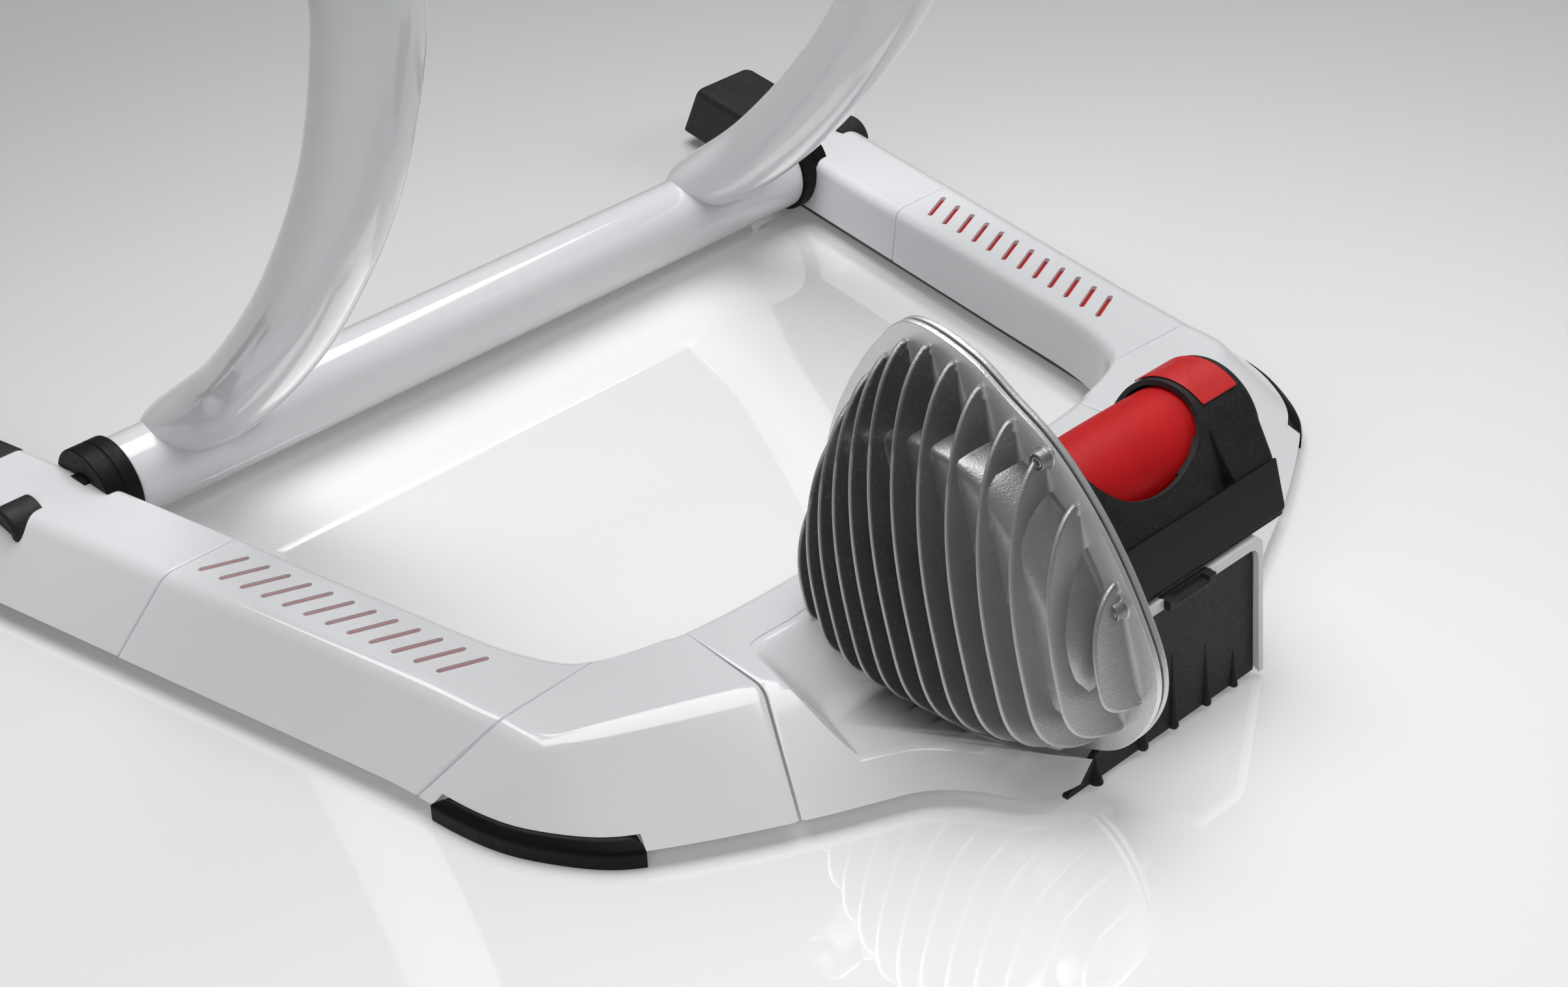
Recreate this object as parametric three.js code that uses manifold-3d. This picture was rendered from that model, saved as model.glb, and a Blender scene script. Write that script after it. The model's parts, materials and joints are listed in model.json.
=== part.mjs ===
// Wheel-on turbo trainer, in millimetres, +Z up.
// +Y points the way the bicycle faces and X = 0 is the plane of its wheel.
// Places are drawn with Y = 0 at the rear axle, and the whole is centred at the end.

import * as THREE from 'three';
import { mergeGeometries, mergeVertices } from 'three/addons/utils/BufferGeometryUtils.js';
import Module from 'manifold-3d';

const wasm = await Module();
wasm.setup();

// Driving dimensions: the bicycle
const tyreRadius = 340;
const axleHeight = 373;
const hubWidth = 135;
const nutProtrusion = 3;

// Driving dimensions: fits
const fit = 0.3;
const overrun = 20;
const wall = 2.5;

// Driving dimensions: base outline
const railAxleX = 216.5;
const railSplay = THREE.MathUtils.degToRad(10.1);
const railTopWidth = 44.5;
const railFlare = 32.5;
const railInnerFlare = 4;
const coverTop = 40.5;
const coverBottom = 9;
const coverRound = 6;
const frontSeamY = 88;
const frontCoverY = 240;
const frontFootY = 298;
const frontFootRake = 13;
const cornerHalfWidth = 240;
const rearOverhang = 53.7;
const cornerStartShare = 0.2508;

// Driving dimensions: rail insides
const trayBottom = 3;
const trayHeight = 8.7;
const trayInset = 7;
const floorReach = 10;
const railTubeWidth = 30;
const railTubeInset = 9;
const insertThickness = 1.5;
const insertWidth = 34;
const insertLength = 176;
const slotLength = 25;
const slotWidth = 3.2;
const slotPitch = 13.5;
const slotCount = 12;
const slotSkew = THREE.MathUtils.degToRad(22);

// Driving dimensions: feet
const padThickness = 5;
const padInset = 6;
const cornerFootHeight = 13;
const cornerFootDepth = 22;
const cornerFootProud = 1;

// Driving dimensions: front pivot
const pivotY = 191;
const pivotZ = 30.6;
const crossTubeRadius = 22.5;
const pivotCollar = 14.5;
const plugLength = 30;
const bushRadius = 25;
const bushSpigotRadius = 12;
const bushSpigotLength = 20;
const pivotBlockLength = 42;
const pivotBlockWidth = 23;
const pivotBlockGap = 2.4;
const pivotBoltRadius = 4.5;
const pivotBoltHead = 2.4;
const pivotCapRadius = 13;
const pivotCapLength = 19;

// Driving dimensions: swing arms
const armInset = 52;
const armRootHalfX = 34;
const armNeckHalfX = 22;
const armTopHalfX = 25;
const armRootHalf = 19;
const armTopHalf = 27;

// Driving dimensions: axle clamps
const clampRadius = 19;
const clampLength = 116;
const clampReach = 30;
const cupRadius = 17;
const cupDepth = 15;
const cupMouthRadius = 12;
const cupMouthDepth = 8;
const plungerRadius = 11;
const plungerStemRadius = 7;
const springRadius = 14;
const springLength = 42;
const collarLength = 5;
const screwRadius = 9;
const knobRadius = 22;
const knobGrip = 3;
const knobLobes = 7;
const knobLength = 24;
const knobTravel = 8;
const clevisSpigot = 8;
const clevisFlange = 3;
const clevisLength = 20;
const clevisSlot = 14.6;
const clevisWidth = 30;
const camRadius = 13;
const camTravel = 4.7;
const camReturn = THREE.MathUtils.degToRad(70);
const camSteps = 36;
const camPinRadius = 3;
const leverSwing = THREE.MathUtils.degToRad(100);
const leverLength = 92;
const leverThickness = 8;
const leverSpread = 15;

// Driving dimensions: roller unit
const rollerRadius = 26;
const rollerCrown = 0.5;
const rollerHeight = 112;
const rollerLeftX = -32;
const rollerRightX = 57;
const rollerCoreRadius = 20.7;
const shaftRadius = 6;
const unitTilt = THREE.MathUtils.degToRad(16.4);
const unitHalfWidth = 34;
const unitBottom = 46;
const unitRightX = 80;
const hoodRadius = 30;
const hoodShoulder = 18;
const windowMiddleX = 7;
const windowHalfWidth = 40.5;
const windowDrop = 35;

// Driving dimensions: fluid brake
const plateFaceX = -50;
const plateThickness = 3;
const gasketThickness = 1;
const gasketInset = 1.5;
const housingReach = 100;
const chamberRadius = 30;
const chamberDepth = 22;
const drumShare = 0.84;
const drumDepth = 26;
const drumCentreShares = [0.35, -0.3];
const domeDepthShare = 0.48;
const finPitchShare = 0.138;
const finFirstShare = -0.553;
const finCount = 13;
const finThickness = 3;
const domeCentreShare = 0.36;
const domeHalfShare = 0.98;
const plateBossRadius = 22;
const plateBossLength = 15;
const screwBossRadius = 4.4;
const screwBossLength = 9;
const flangeScrewRadius = 2;
const flangeScrewHeadRadius = 3;
const flangeScrewHead = 2.5;
const impellerRadius = 26;
const impellerLength = 12;
const impellerHubRadius = 12;
const impellerBladeWidth = 4;
const impellerBlades = 6;

// Driving dimensions: bearings and their carrier
const bearingRadius = 16;
const bearingWidth = 10;
const sealRadius = 12;
const sealWidth = 3.6;
const carrierHalfWidth = 28;
const carrierThickness = 4;
const carrierWallX = 61.5;
const carrierWallWidth = 12;
const carrierTopRadius = 26;
const unitBoltRadius = 3;
const unitBoltHeadRadius = 5;
const unitBoltHead = 4;
const unitBoltInset = 9;

// Driving dimensions: tower under the unit
const towerLeftX = -49.4;
const towerRightX = 60;
const towerTop = 76.5;
const towerLean = 5.5;
const towerSetback = 35.3;
const towerStepShare = 2 / 3;
const towerFrontTop = 56;
const panelLeftX = -46.6;
const panelRightX = 56.5;
const skirtLeftX = -80;
const skirtTop = 17.5;
const skirtToe = 1.5;
const skirtSlope = 22;
const panelTop = 71;
const panelRecess = 3;
const panelThickness = 3;
const panelRibStart = 26;
const panelRibCount = 5;
const panelRibEnd = 14.5;
const panelRibWidth = 4;
const panelRibHeight = 42;
const panelRibDrop = 2.6;
const panelRibProud = 4;
const clipLeftX = -11;
const clipRightX = 22;
const clipDepth = 7;
const pocketFloor = 20;
const bracketLeftX = -36;
const bracketRightX = 48;
const bracketWall = 3;
const bracketHalfLength = 28;
const bracketToe = 12;
const crossBarShare = 0.4277;
const crossBarThickness = 5;
const crossBarHalf = 212;
const crossBarTop = 34;
const basePlateThickness = 4;

// Driving dimensions: trim
const trimThickness = 0.6;
const labelTop = 18;
const labelBottom = 44;
const patchWidth = 25;
const patchFrom = THREE.MathUtils.degToRad(60);
const patchTo = THREE.MathUtils.degToRad(142);

// Worked out from the driving dimensions
const splaySlope = Math.tan(railSplay);
const floorZ = 0;
const cupFaceX = hubWidth / 2 + nutProtrusion;
const axleToRoller = tyreRadius + rollerRadius + rollerCrown;
const rollerY = -Math.sqrt(axleToRoller ** 2 - (axleHeight - rollerHeight) ** 2);
const rearReach = rearOverhang - rollerY;
const cornerY = cornerStartShare * rearReach;
const towerFrontY = -rollerY - towerSetback;
const crossBarY = crossBarShare * rearReach;
const crossTubeHalf = railInner(pivotY) - pivotCollar;
const armX = crossTubeHalf - armInset;
const clampOuterX = armX + clampReach;
const clampInnerX = clampOuterX - clampLength;
const panelRibSpan = panelRightX - skirtLeftX - panelRibStart - panelRibEnd;
const panelRibPitch = panelRibSpan / (panelRibCount - 1);
const drumRadius = drumShare * housingReach;
const domeDepth = domeDepthShare * housingReach;
const innerTop = coverTop - wall;
const trayTop = trayBottom + trayHeight;
const gasketX = plateFaceX - plateThickness - fit;
const housingX = gasketX - gasketThickness - fit;
const housingFaceX = housingX - plateThickness;

const colours = {
  gloss: { color: 0xf3f4f6, roughness: 0.12, metalness: 0 },
  casting: { color: 0x8d8f92, roughness: 0.45, metalness: 1 },
  steel: { color: 0xb9bcc0, roughness: 0.35, metalness: 1 },
  darkSteel: { color: 0x3b3d40, roughness: 0.5, metalness: 0.8 },
  plastic: { color: 0x1c1d1f, roughness: 0.55, metalness: 0 },
  label: { color: 0x151617, roughness: 0.3, metalness: 0 },
  rubber: { color: 0x0e0e0f, roughness: 0.6, metalness: 0 },
  elastomer: { color: 0xb5161a, roughness: 0.45, metalness: 0 },
  red: { color: 0xc01a1e, roughness: 0.5, metalness: 0 },
};

const trainer = new THREE.Group();
const base = new THREE.Group();
const unit = new THREE.Group();
const arms = new THREE.Group();
trainer.add(base, unit, arms);

// The roller unit leans forward about the roller's axis
unit.position.set(0, rollerY, rollerHeight);
unit.rotation.x = -unitTilt;
unit.updateMatrix();

function place(name, geometry, finish, parent) {
  const material = new THREE.MeshStandardMaterial(finish);
  const mesh = new THREE.Mesh(geometry, material);
  mesh.name = name;
  parent.add(mesh);
  return mesh;
}

// Solids and booleans

function solid(geometry) {
  const bare = geometry.clone();
  bare.deleteAttribute('normal');
  bare.deleteAttribute('uv');
  const merged = mergeVertices(bare, 1e-4);
  const index = Array.from(merged.index.array);
  const triVerts = [];
  for (let i = 0; i < index.length; i += 3) {
    const [a, b, c] = index.slice(i, i + 3);
    if (a !== b && b !== c && c !== a) {
      triVerts.push(a, b, c);
    }
  }
  const mesh = new wasm.Mesh({
    numProp: 3,
    vertProperties: new Float32Array(merged.attributes.position.array),
    triVerts: new Uint32Array(triVerts),
  });
  return new wasm.Manifold(mesh);
}

function geometryOf(body) {
  const mesh = body.getMesh();
  const geometry = new THREE.BufferGeometry();
  const position = new Float32Array(mesh.vertProperties);
  geometry.setAttribute('position', new THREE.BufferAttribute(position, 3));
  geometry.setIndex(Array.from(mesh.triVerts));
  return geometry;
}

function cut(geometry, ...tools) {
  const body = tools.reduce((rest, tool) => rest.subtract(solid(tool)), solid(geometry));
  return geometryOf(body);
}

function join(...geometries) {
  const bodies = geometries.map(solid);
  return geometryOf(bodies.reduce((sum, body) => sum.add(body)));
}

// The main piece of a body, without the crumbs that a cut leaves
function largest(body) {
  const pieces = body.decompose();
  return pieces.reduce((best, piece) => (piece.volume() > best.volume() ? piece : best));
}

function common(geometry, tool) {
  return geometryOf(solid(geometry).intersect(solid(tool)));
}

function mirrored(geometry) {
  const copy = geometry.clone();
  copy.applyMatrix4(new THREE.Matrix4().makeScale(-1, 1, 1));
  if (!copy.index) {
    copy.setIndex([...Array(copy.attributes.position.count).keys()]);
  }
  copy.setIndex(Array.from(copy.index.array).reverse());
  return copy;
}

function placePair(name, right, finish, parent) {
  place(`${name}_right`, right, finish, parent);
  place(`${name}_left`, mirrored(right), finish, parent);
}

// Simple bodies by their limits

function boxBetween(x0, x1, y0, y1, z0, z1) {
  const box = new THREE.BoxGeometry(x1 - x0, y1 - y0, z1 - z0);
  return box.translate((x0 + x1) / 2, (y0 + y1) / 2, (z0 + z1) / 2);
}

function cylinderX(radius, x0, x1, y, z, sides = 32) {
  const body = new THREE.CylinderGeometry(radius, radius, x1 - x0, sides);
  return body.rotateZ(-Math.PI / 2).translate((x0 + x1) / 2, y, z);
}

// A turned body about the X axis, from pairs of radius and x
function turnedX(profile, sides = 24) {
  const points = profile.map(([radius, x]) => new THREE.Vector2(radius, x));
  return new THREE.LatheGeometry(points, sides).rotateZ(-Math.PI / 2);
}

function ringX(inner, outer, x0, x1, sides = 32) {
  return turnedX([[inner, x0], [outer, x0], [outer, x1], [inner, x1], [inner, x0]], sides);
}

// A prism along X, from a shape drawn in Y and Z
function prismX(shape, x0, x1) {
  const options = { depth: x1 - x0, bevelEnabled: false, curveSegments: 6 };
  const body = new THREE.ExtrudeGeometry(shape, options);
  const turn = new THREE.Matrix4().makeBasis(
    new THREE.Vector3(0, 1, 0),
    new THREE.Vector3(0, 0, 1),
    new THREE.Vector3(1, 0, 0),
  );
  return body.applyMatrix4(turn).translate(x0, 0, 0);
}

function polygon(points) {
  return new THREE.Shape(points.map(([a, b]) => new THREE.Vector2(a, b)));
}

// A skin over rings of points, with flat lids at both ends
function skin(rings) {
  const size = rings[0].length;
  const position = rings.flat().flatMap((point) => [point.x, point.y, point.z]);
  const index = [];
  for (let r = 0; r + 1 < rings.length; r += 1) {
    for (let i = 0; i < size; i += 1) {
      const a = r * size + i;
      const b = r * size + ((i + 1) % size);
      index.push(a, b, b + size, a, b + size, a + size);
    }
  }
  const last = (rings.length - 1) * size;
  for (const [a, b, c] of lid(rings[0])) {
    index.push(c, b, a);
  }
  for (const [a, b, c] of lid(rings[rings.length - 1])) {
    index.push(last + a, last + b, last + c);
  }
  const geometry = new THREE.BufferGeometry();
  geometry.setAttribute('position', new THREE.Float32BufferAttribute(position, 3));
  geometry.setIndex(volumeOf(position, index) < 0 ? index.reverse() : index);
  return geometry;
}

// Triangles that close one ring, wound the way that the ring runs
function lid(ring) {
  const normal = new THREE.Vector3();
  ring.forEach((point, i) => {
    const next = ring[(i + 1) % ring.length];
    normal.add(new THREE.Vector3().crossVectors(point, next));
  });
  const across = new THREE.Vector3().subVectors(ring[1], ring[0]).normalize();
  const up = new THREE.Vector3().crossVectors(normal, across).normalize();
  const flat = ring.map((point) => new THREE.Vector2(point.dot(across), point.dot(up)));
  const turn = Math.sign(THREE.ShapeUtils.area(flat));
  return THREE.ShapeUtils.triangulateShape(flat, []).map(([a, b, c]) => {
    const same = Math.sign(THREE.ShapeUtils.area([flat[a], flat[b], flat[c]])) === turn;
    return same ? [a, b, c] : [c, b, a];
  });
}

function volumeOf(position, index) {
  const corner = (i) => new THREE.Vector3().fromArray(position, 3 * i);
  let volume = 0;
  for (let i = 0; i < index.length; i += 3) {
    const [a, b, c] = [corner(index[i]), corner(index[i + 1]), corner(index[i + 2])];
    volume += a.dot(b.cross(c));
  }
  return volume;
}

// Base covers

function railInner(y) {
  return railAxleX + splaySlope * y;
}

// One station of a cover: its inner top edge, outer top edge and outer bottom edge, in plan
function station(inX, inY, outX, outY, bottomX, bottomY) {
  return {
    inner: new THREE.Vector2(inX, inY),
    outer: new THREE.Vector2(outX, outY),
    bottom: new THREE.Vector2(bottomX, bottomY),
  };
}

function railStation(y) {
  const inner = railInner(y);
  const outer = inner + railTopWidth;
  return station(inner, y, outer, y, outer + railFlare, y);
}

// Plan of the rear corner: shares of the half width and of the reach behind the axle
const cornerShares = [
  [0.792, 0.347, 1.013, 0.347, 1.16, 0.28],
  [0.746, 0.373, 1.004, 0.379, 1.154, 0.318],
  [0.717, 0.383, 1.002, 0.418, 1.147, 0.392],
  [0.683, 0.391, 0.996, 0.453, 1.125, 0.482],
  [0.654, 0.397, 0.975, 0.473, 1.083, 0.55],
  [0.625, 0.402, 0.942, 0.484, 1.029, 0.614],
  [0.608, 0.405, 0.892, 0.5, 0.967, 0.656],
  [0.583, 0.41, 0.581, 0.608, 0.708, 0.77],
];
const seamStation = 1;
const cornerFootStartShare = 0.2;
const cornerFootEndShare = 0.8;

// Plan of the middle cover from its right seam to the tower, in the same shares
const bridgeRightShares = [
  [0.583, 0.41, 0.581, 0.608, 0.708, 0.77],
  [0.479, 0.418, 0.467, 0.648, 0.567, 0.819],
  [0.417, 0.42, 0.392, 0.682, 0.496, 0.846],
  [0.354, 0.421, 0.33, 0.7, 0.42, 0.852],
  [0.27, 0.421, 0.26, 0.71, 0.33, 0.853],
  [0.17, 0.421, 0.17, 0.715, 0.22, 0.854],
];
// The left half runs on further to the rear, under the fluid brake
const bridgeLeftShares = [
  [0.583, 0.41, 0.581, 0.608, 0.708, 0.77],
  [0.479, 0.418, 0.467, 0.648, 0.567, 0.819],
  [0.417, 0.42, 0.392, 0.682, 0.496, 0.846],
  [0.354, 0.421, 0.333, 0.746, 0.438, 0.897],
  [0.292, 0.421, 0.22, 0.86, 0.396, 0.958],
  [0.2, 0.421, 0.09, 0.955, 0.335, 0.992],
  [0.1, 0.421, 0.02, 0.965, 0.2, 1],
];

function sharedStation([inX, inY, outX, outY, bottomX, bottomY]) {
  return station(
    inX * cornerHalfWidth, -inY * rearReach,
    outX * cornerHalfWidth, -outY * rearReach,
    bottomX * cornerHalfWidth, -bottomY * rearReach,
  );
}

function moved(place, dx, dy) {
  const step = new THREE.Vector2(dx, dy);
  return {
    inner: place.inner.clone().add(step),
    outer: place.outer.clone().add(step),
    bottom: place.bottom.clone().add(step),
  };
}

function between(from, to, share) {
  return {
    inner: from.inner.clone().lerp(to.inner, share),
    outer: from.outer.clone().lerp(to.outer, share),
    bottom: from.bottom.clone().lerp(to.bottom, share),
  };
}

function lifted(plan, z) {
  return new THREE.Vector3(plan.x, plan.y, z);
}

// A rounded corner of a section, as three points of a quadratic curve
function softCorner(before, corner, after, radius) {
  const start = corner.clone().add(before.clone().sub(corner).setLength(radius));
  const end = corner.clone().add(after.clone().sub(corner).setLength(radius));
  const curve = new THREE.QuadraticBezierCurve3(start, corner, end);
  return curve.getPoints(2);
}

function sectionCorners(place, top, bottom, inset) {
  const across = place.outer.clone().sub(place.inner).normalize();
  const outward = place.bottom.clone().sub(place.outer).normalize();
  const share = (coverTop - bottom) / (coverTop - coverBottom);
  const innerTopPoint = place.inner.clone().addScaledVector(across, inset);
  const outerTopPoint = place.outer.clone().addScaledVector(outward, -inset);
  const innerBottomPoint = place.inner.clone()
    .addScaledVector(across, inset - railInnerFlare * share);
  const outerBottomPoint = place.outer.clone()
    .lerp(place.bottom, share)
    .addScaledVector(outward, -inset * Math.SQRT2);
  return {
    innerTop: lifted(innerTopPoint, top),
    outerTop: lifted(outerTopPoint, top),
    innerBottom: lifted(innerBottomPoint, bottom),
    outerBottom: lifted(outerBottomPoint, bottom),
  };
}

function outerRing(place, top = coverTop, bottom = coverBottom, inset = 0, round = coverRound) {
  const corners = sectionCorners(place, top, bottom, inset);
  const { innerTop: topIn, outerTop: topOut, innerBottom, outerBottom } = corners;
  return [
    innerBottom,
    ...softCorner(innerBottom, topIn, topOut, round),
    ...softCorner(topIn, topOut, outerBottom, round),
    outerBottom,
  ];
}

function shellRing(place) {
  const inner = outerRing(place, innerTop, coverBottom, wall, coverRound - wall);
  return [...outerRing(place), ...inner.reverse()];
}

function coverShell(places) {
  return skin(places.map(shellRing));
}

function coverSolid(places, grow = 0) {
  return skin(places.map((item) => outerRing(item, coverTop + grow, coverBottom - grow, -grow)));
}

function railCover() {
  const corner = cornerShares.slice(0, seamStation + 1).map(sharedStation);
  const shell = coverShell([railStation(frontSeamY), railStation(-cornerY), ...corner]);
  return cut(shell, railSlots());
}

// Plain slots across the top of a rail cover, evenly spaced
function railSlots() {
  const slots = [];
  for (let i = 0; i < slotCount; i += 1) {
    const y = (i - (slotCount - 1) / 2) * slotPitch;
    const slot = new THREE.BoxGeometry(slotLength, slotWidth, overrun);
    slot.rotateZ(slotSkew).translate(railInner(y) + railTopWidth / 2, y, coverTop);
    slots.push(slot);
  }
  return mergeGeometries(slots);
}

function frontCover() {
  const places = [railStation(frontSeamY + fit), railStation(frontCoverY)];
  const spigotBore = cylinderX(
    bushSpigotRadius + fit, crossTubeHalf, crossTubeHalf + overrun + pivotBlockWidth / 2,
    pivotY, pivotZ, 24,
  );
  const capBore = cylinderX(
    pivotCapRadius + fit, capInnerX() - fit, capInnerX() + pivotCapLength + overrun,
    pivotY, pivotZ, 24,
  );
  return cut(coverShell(places), spigotBore, capBore);
}

function cornerPlaces() {
  const places = cornerShares.slice(seamStation).map(sharedStation);
  places[0] = moved(places[0], 0, -fit);
  return places;
}

function cornerCover() {
  return cut(coverShell(cornerPlaces()), cornerFoot(fit));
}

// The rubber foot follows the bottom edge of the corner
function cornerFoot(grow = 0) {
  const places = cornerPlaces();
  const start = between(places[0], places[1], cornerFootStartShare);
  const end = between(places[4], places[5], cornerFootEndShare);
  const rings = [start, ...places.slice(1, 5), end].map((item) => {
    const outward = item.bottom.clone().sub(item.outer).normalize();
    const slope = item.bottom.distanceTo(item.outer) / (coverTop - coverBottom);
    const toe = item.bottom.clone().addScaledVector(outward, cornerFootProud + grow);
    const heel = toe.clone().addScaledVector(outward, -cornerFootDepth - 2 * grow);
    const lip = toe.clone().addScaledVector(outward, -slope * (cornerFootHeight - coverBottom));
    return [
      lifted(heel, floorZ - grow),
      lifted(toe, floorZ - grow),
      lifted(toe, coverBottom),
      lifted(lip, cornerFootHeight + grow),
      lifted(heel, cornerFootHeight + grow),
    ];
  });
  return skin(rings);
}

function frontFoot() {
  const toe = frontFootY + frontFootRake;
  const block = coverSolid([railStation(frontCoverY + fit), railStation(toe)]);
  const lean = frontFootRake / (coverTop - coverBottom);
  const nose = polygon([
    [frontFootY - lean * overrun, coverTop + overrun],
    [toe + 2 * overrun, coverTop + overrun],
    [toe + 2 * overrun, coverBottom - overrun],
    [toe + lean * overrun, coverBottom - overrun],
  ]);
  const keel = frontSole(padThickness + fit, coverBottom + fit, padInset / 2);
  return join(cut(block, prismX(nose, 0, 2 * cornerHalfWidth)), keel);
}

// The flat underside of the front foot, between two heights
function frontSole(bottom, top, inset) {
  const y0 = frontCoverY + fit + inset;
  const y1 = frontFootY + frontFootRake / 2 - inset / 2;
  const ring = (z) => [
    new THREE.Vector3(railInner(y0) + inset, y0, z),
    new THREE.Vector3(railInner(y0) + railTopWidth + railFlare - inset, y0, z),
    new THREE.Vector3(railInner(y1) + railTopWidth + railFlare - inset, y1, z),
    new THREE.Vector3(railInner(y1) + inset, y1, z),
  ];
  return skin([ring(bottom), ring(top)]);
}

function railFloor() {
  const ring = (y) => {
    const inner = railInner(y) + wall + fit - railInnerFlare / 2;
    const outer = railInner(y) + railTopWidth + railFlare - trayInset;
    return [
      new THREE.Vector3(inner, y, trayBottom),
      new THREE.Vector3(outer, y, trayBottom),
      new THREE.Vector3(outer - trayHeight, y, trayTop),
      new THREE.Vector3(inner, y, trayTop),
    ];
  };
  return skin([ring(-cornerY - floorReach), ring(frontCoverY)]);
}

function railTube() {
  const top = innerTop - insertThickness - 2 * fit;
  const ring = (y, inset) => {
    const inner = railInner(y) + railTubeInset + inset;
    const outer = railInner(y) + railTubeInset + railTubeWidth - inset;
    return [
      new THREE.Vector3(inner, y, trayTop - wall + inset),
      new THREE.Vector3(outer, y, trayTop - wall + inset),
      new THREE.Vector3(outer, y, top - inset),
      new THREE.Vector3(inner, y, top - inset),
    ];
  };
  const rear = -crossBarY - fit;
  const front = pivotY - pivotBlockLength / 2 - fit;
  const bore = skin([ring(rear - overrun, wall), ring(front + overrun, wall)]);
  return cut(skin([ring(rear, 0), ring(front, 0)]), bore);
}

// Rail floors, rail tubes and the cross bar, welded into one frame
function baseFrame() {
  const right = join(railFloor(), railTube());
  return join(right, mirrored(right), crossBar());
}

function slotInsert() {
  const middle = railTopWidth / 2;
  const ring = (y) => {
    const inner = railInner(y) + middle - insertWidth / 2;
    const top = innerTop - fit;
    return [
      new THREE.Vector3(inner, y, top - insertThickness),
      new THREE.Vector3(inner + insertWidth, y, top - insertThickness),
      new THREE.Vector3(inner + insertWidth, y, top),
      new THREE.Vector3(inner, y, top),
    ];
  };
  return skin([ring(-insertLength / 2), ring(insertLength / 2 - fit)]);
}

// Front pivot

function blockInnerX() {
  const y = pivotY + pivotBlockLength / 2;
  return railInner(y) + wall + pivotBlockGap;
}

function capInnerX() {
  return blockInnerX() + pivotBlockWidth + pivotBlockGap;
}

function pivotBlock() {
  const block = boxBetween(
    blockInnerX(), blockInnerX() + pivotBlockWidth,
    pivotY - pivotBlockLength / 2, pivotY + pivotBlockLength / 2,
    trayTop + fit, innerTop - 2 * fit,
  );
  const x = blockInnerX();
  const bore = cylinderX(pivotBoltRadius + fit, x - overrun, x + pivotBlockWidth + overrun,
    pivotY, pivotZ, 24);
  const headBore = cylinderX(pivotBoltRadius + pivotBoltHead + fit,
    x + pivotBlockWidth - pivotBoltHead, x + pivotBlockWidth + overrun, pivotY, pivotZ, 24);
  return cut(block, bore, headBore);
}

function pivotBush() {
  const flange = cylinderX(bushRadius, crossTubeHalf + fit, crossTubeHalf + bushSpigotLength,
    pivotY, pivotZ, 32);
  const plug = cylinderX(crossTubeRadius - wall - fit, crossTubeHalf - plugLength,
    crossTubeHalf + wall, pivotY, pivotZ, 32);
  const rail = skin([frontSeamY, frontCoverY].map(
    (y) => outerRing(railStation(y), coverTop + fit, coverBottom - overrun, -fit),
  ));
  const spigot = cylinderX(bushSpigotRadius, crossTubeHalf + fit, blockInnerX() - fit,
    pivotY, pivotZ, 24);
  const bore = cylinderX(pivotBoltRadius + fit, crossTubeHalf - 2 * plugLength,
    crossTubeHalf + 2 * overrun, pivotY, pivotZ, 24);
  return cut(join(cut(flange, rail), spigot, plug), bore);
}

function pivotBolt() {
  const head = blockInnerX() + pivotBlockWidth - pivotBoltHead + fit;
  const start = crossTubeHalf - plugLength;
  const outer = pivotBoltRadius + pivotBoltHead;
  const profile = [
    [0, start],
    [pivotBoltRadius, start],
    [pivotBoltRadius, head],
    [outer, head],
    [outer, head + pivotBoltHead],
    [0, head + pivotBoltHead],
  ];
  return turnedX(profile, 24).translate(0, pivotY, pivotZ);
}

function pivotCap() {
  const inner = capInnerX();
  const outer = inner + pivotCapLength;
  const profile = [
    [0, inner],
    [pivotCapRadius, inner],
    [pivotCapRadius, outer - wall],
    [pivotCapRadius - wall, outer],
    [0, outer],
  ];
  return turnedX(profile, 24).translate(0, pivotY, pivotZ);
}

// Tower and middle cover

function unitPoint(x, y, z) {
  return new THREE.Vector3(x, y, z).applyMatrix4(unit.matrix);
}

function towerProfile(inset) {
  const rear = rearReach - inset;
  return polygon([
    [-rear, inset ? -overrun : trayBottom],
    [-rear + towerLean, towerTop - inset],
    [rollerY + unitHalfWidth, towerFrontTop - inset],
    [-towerFrontY + towerStepShare * unitHalfWidth - inset, innerTop - inset],
    [-towerFrontY + unitHalfWidth - inset, inset ? -overrun : coverBottom],
    [-rear + bracketToe, inset ? -overrun : coverBottom],
  ]);
}

function tower(inset) {
  return prismX(towerProfile(inset), towerLeftX + inset, towerRightX - inset);
}

// Everything above the slanted bed that the roller unit sits on
function unitBed(drop) {
  const level = -unitBottom - drop;
  const box = boxBetween(
    -2 * unitBottom, 2 * unitBottom,
    -2 * unitBottom, 2 * unitBottom,
    level, level + 2 * unitBottom,
  );
  return box.applyMatrix4(unit.matrix);
}

// The pocket beside the fluid brake: its rim and its floor, as shares of the half width and the reach
const pocketRimShares = [
  [0.18, 0.53], [0.41, 0.522], [0.511, 0.523], [0.528, 0.533], [0.557, 0.603],
  [0.615, 0.713], [0.629, 0.788], [0.62, 0.88], [0.4, 1], [0.18, 1.05],
];
const pocketFloorShares = [
  [0.2, 0.645], [0.36, 0.64], [0.45, 0.636], [0.49, 0.642], [0.515, 0.68],
  [0.545, 0.75], [0.57, 0.8], [0.56, 0.9], [0.4, 1.02], [0.2, 1.07],
];
const pocketCentreShares = [0.41, 0.9];

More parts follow.
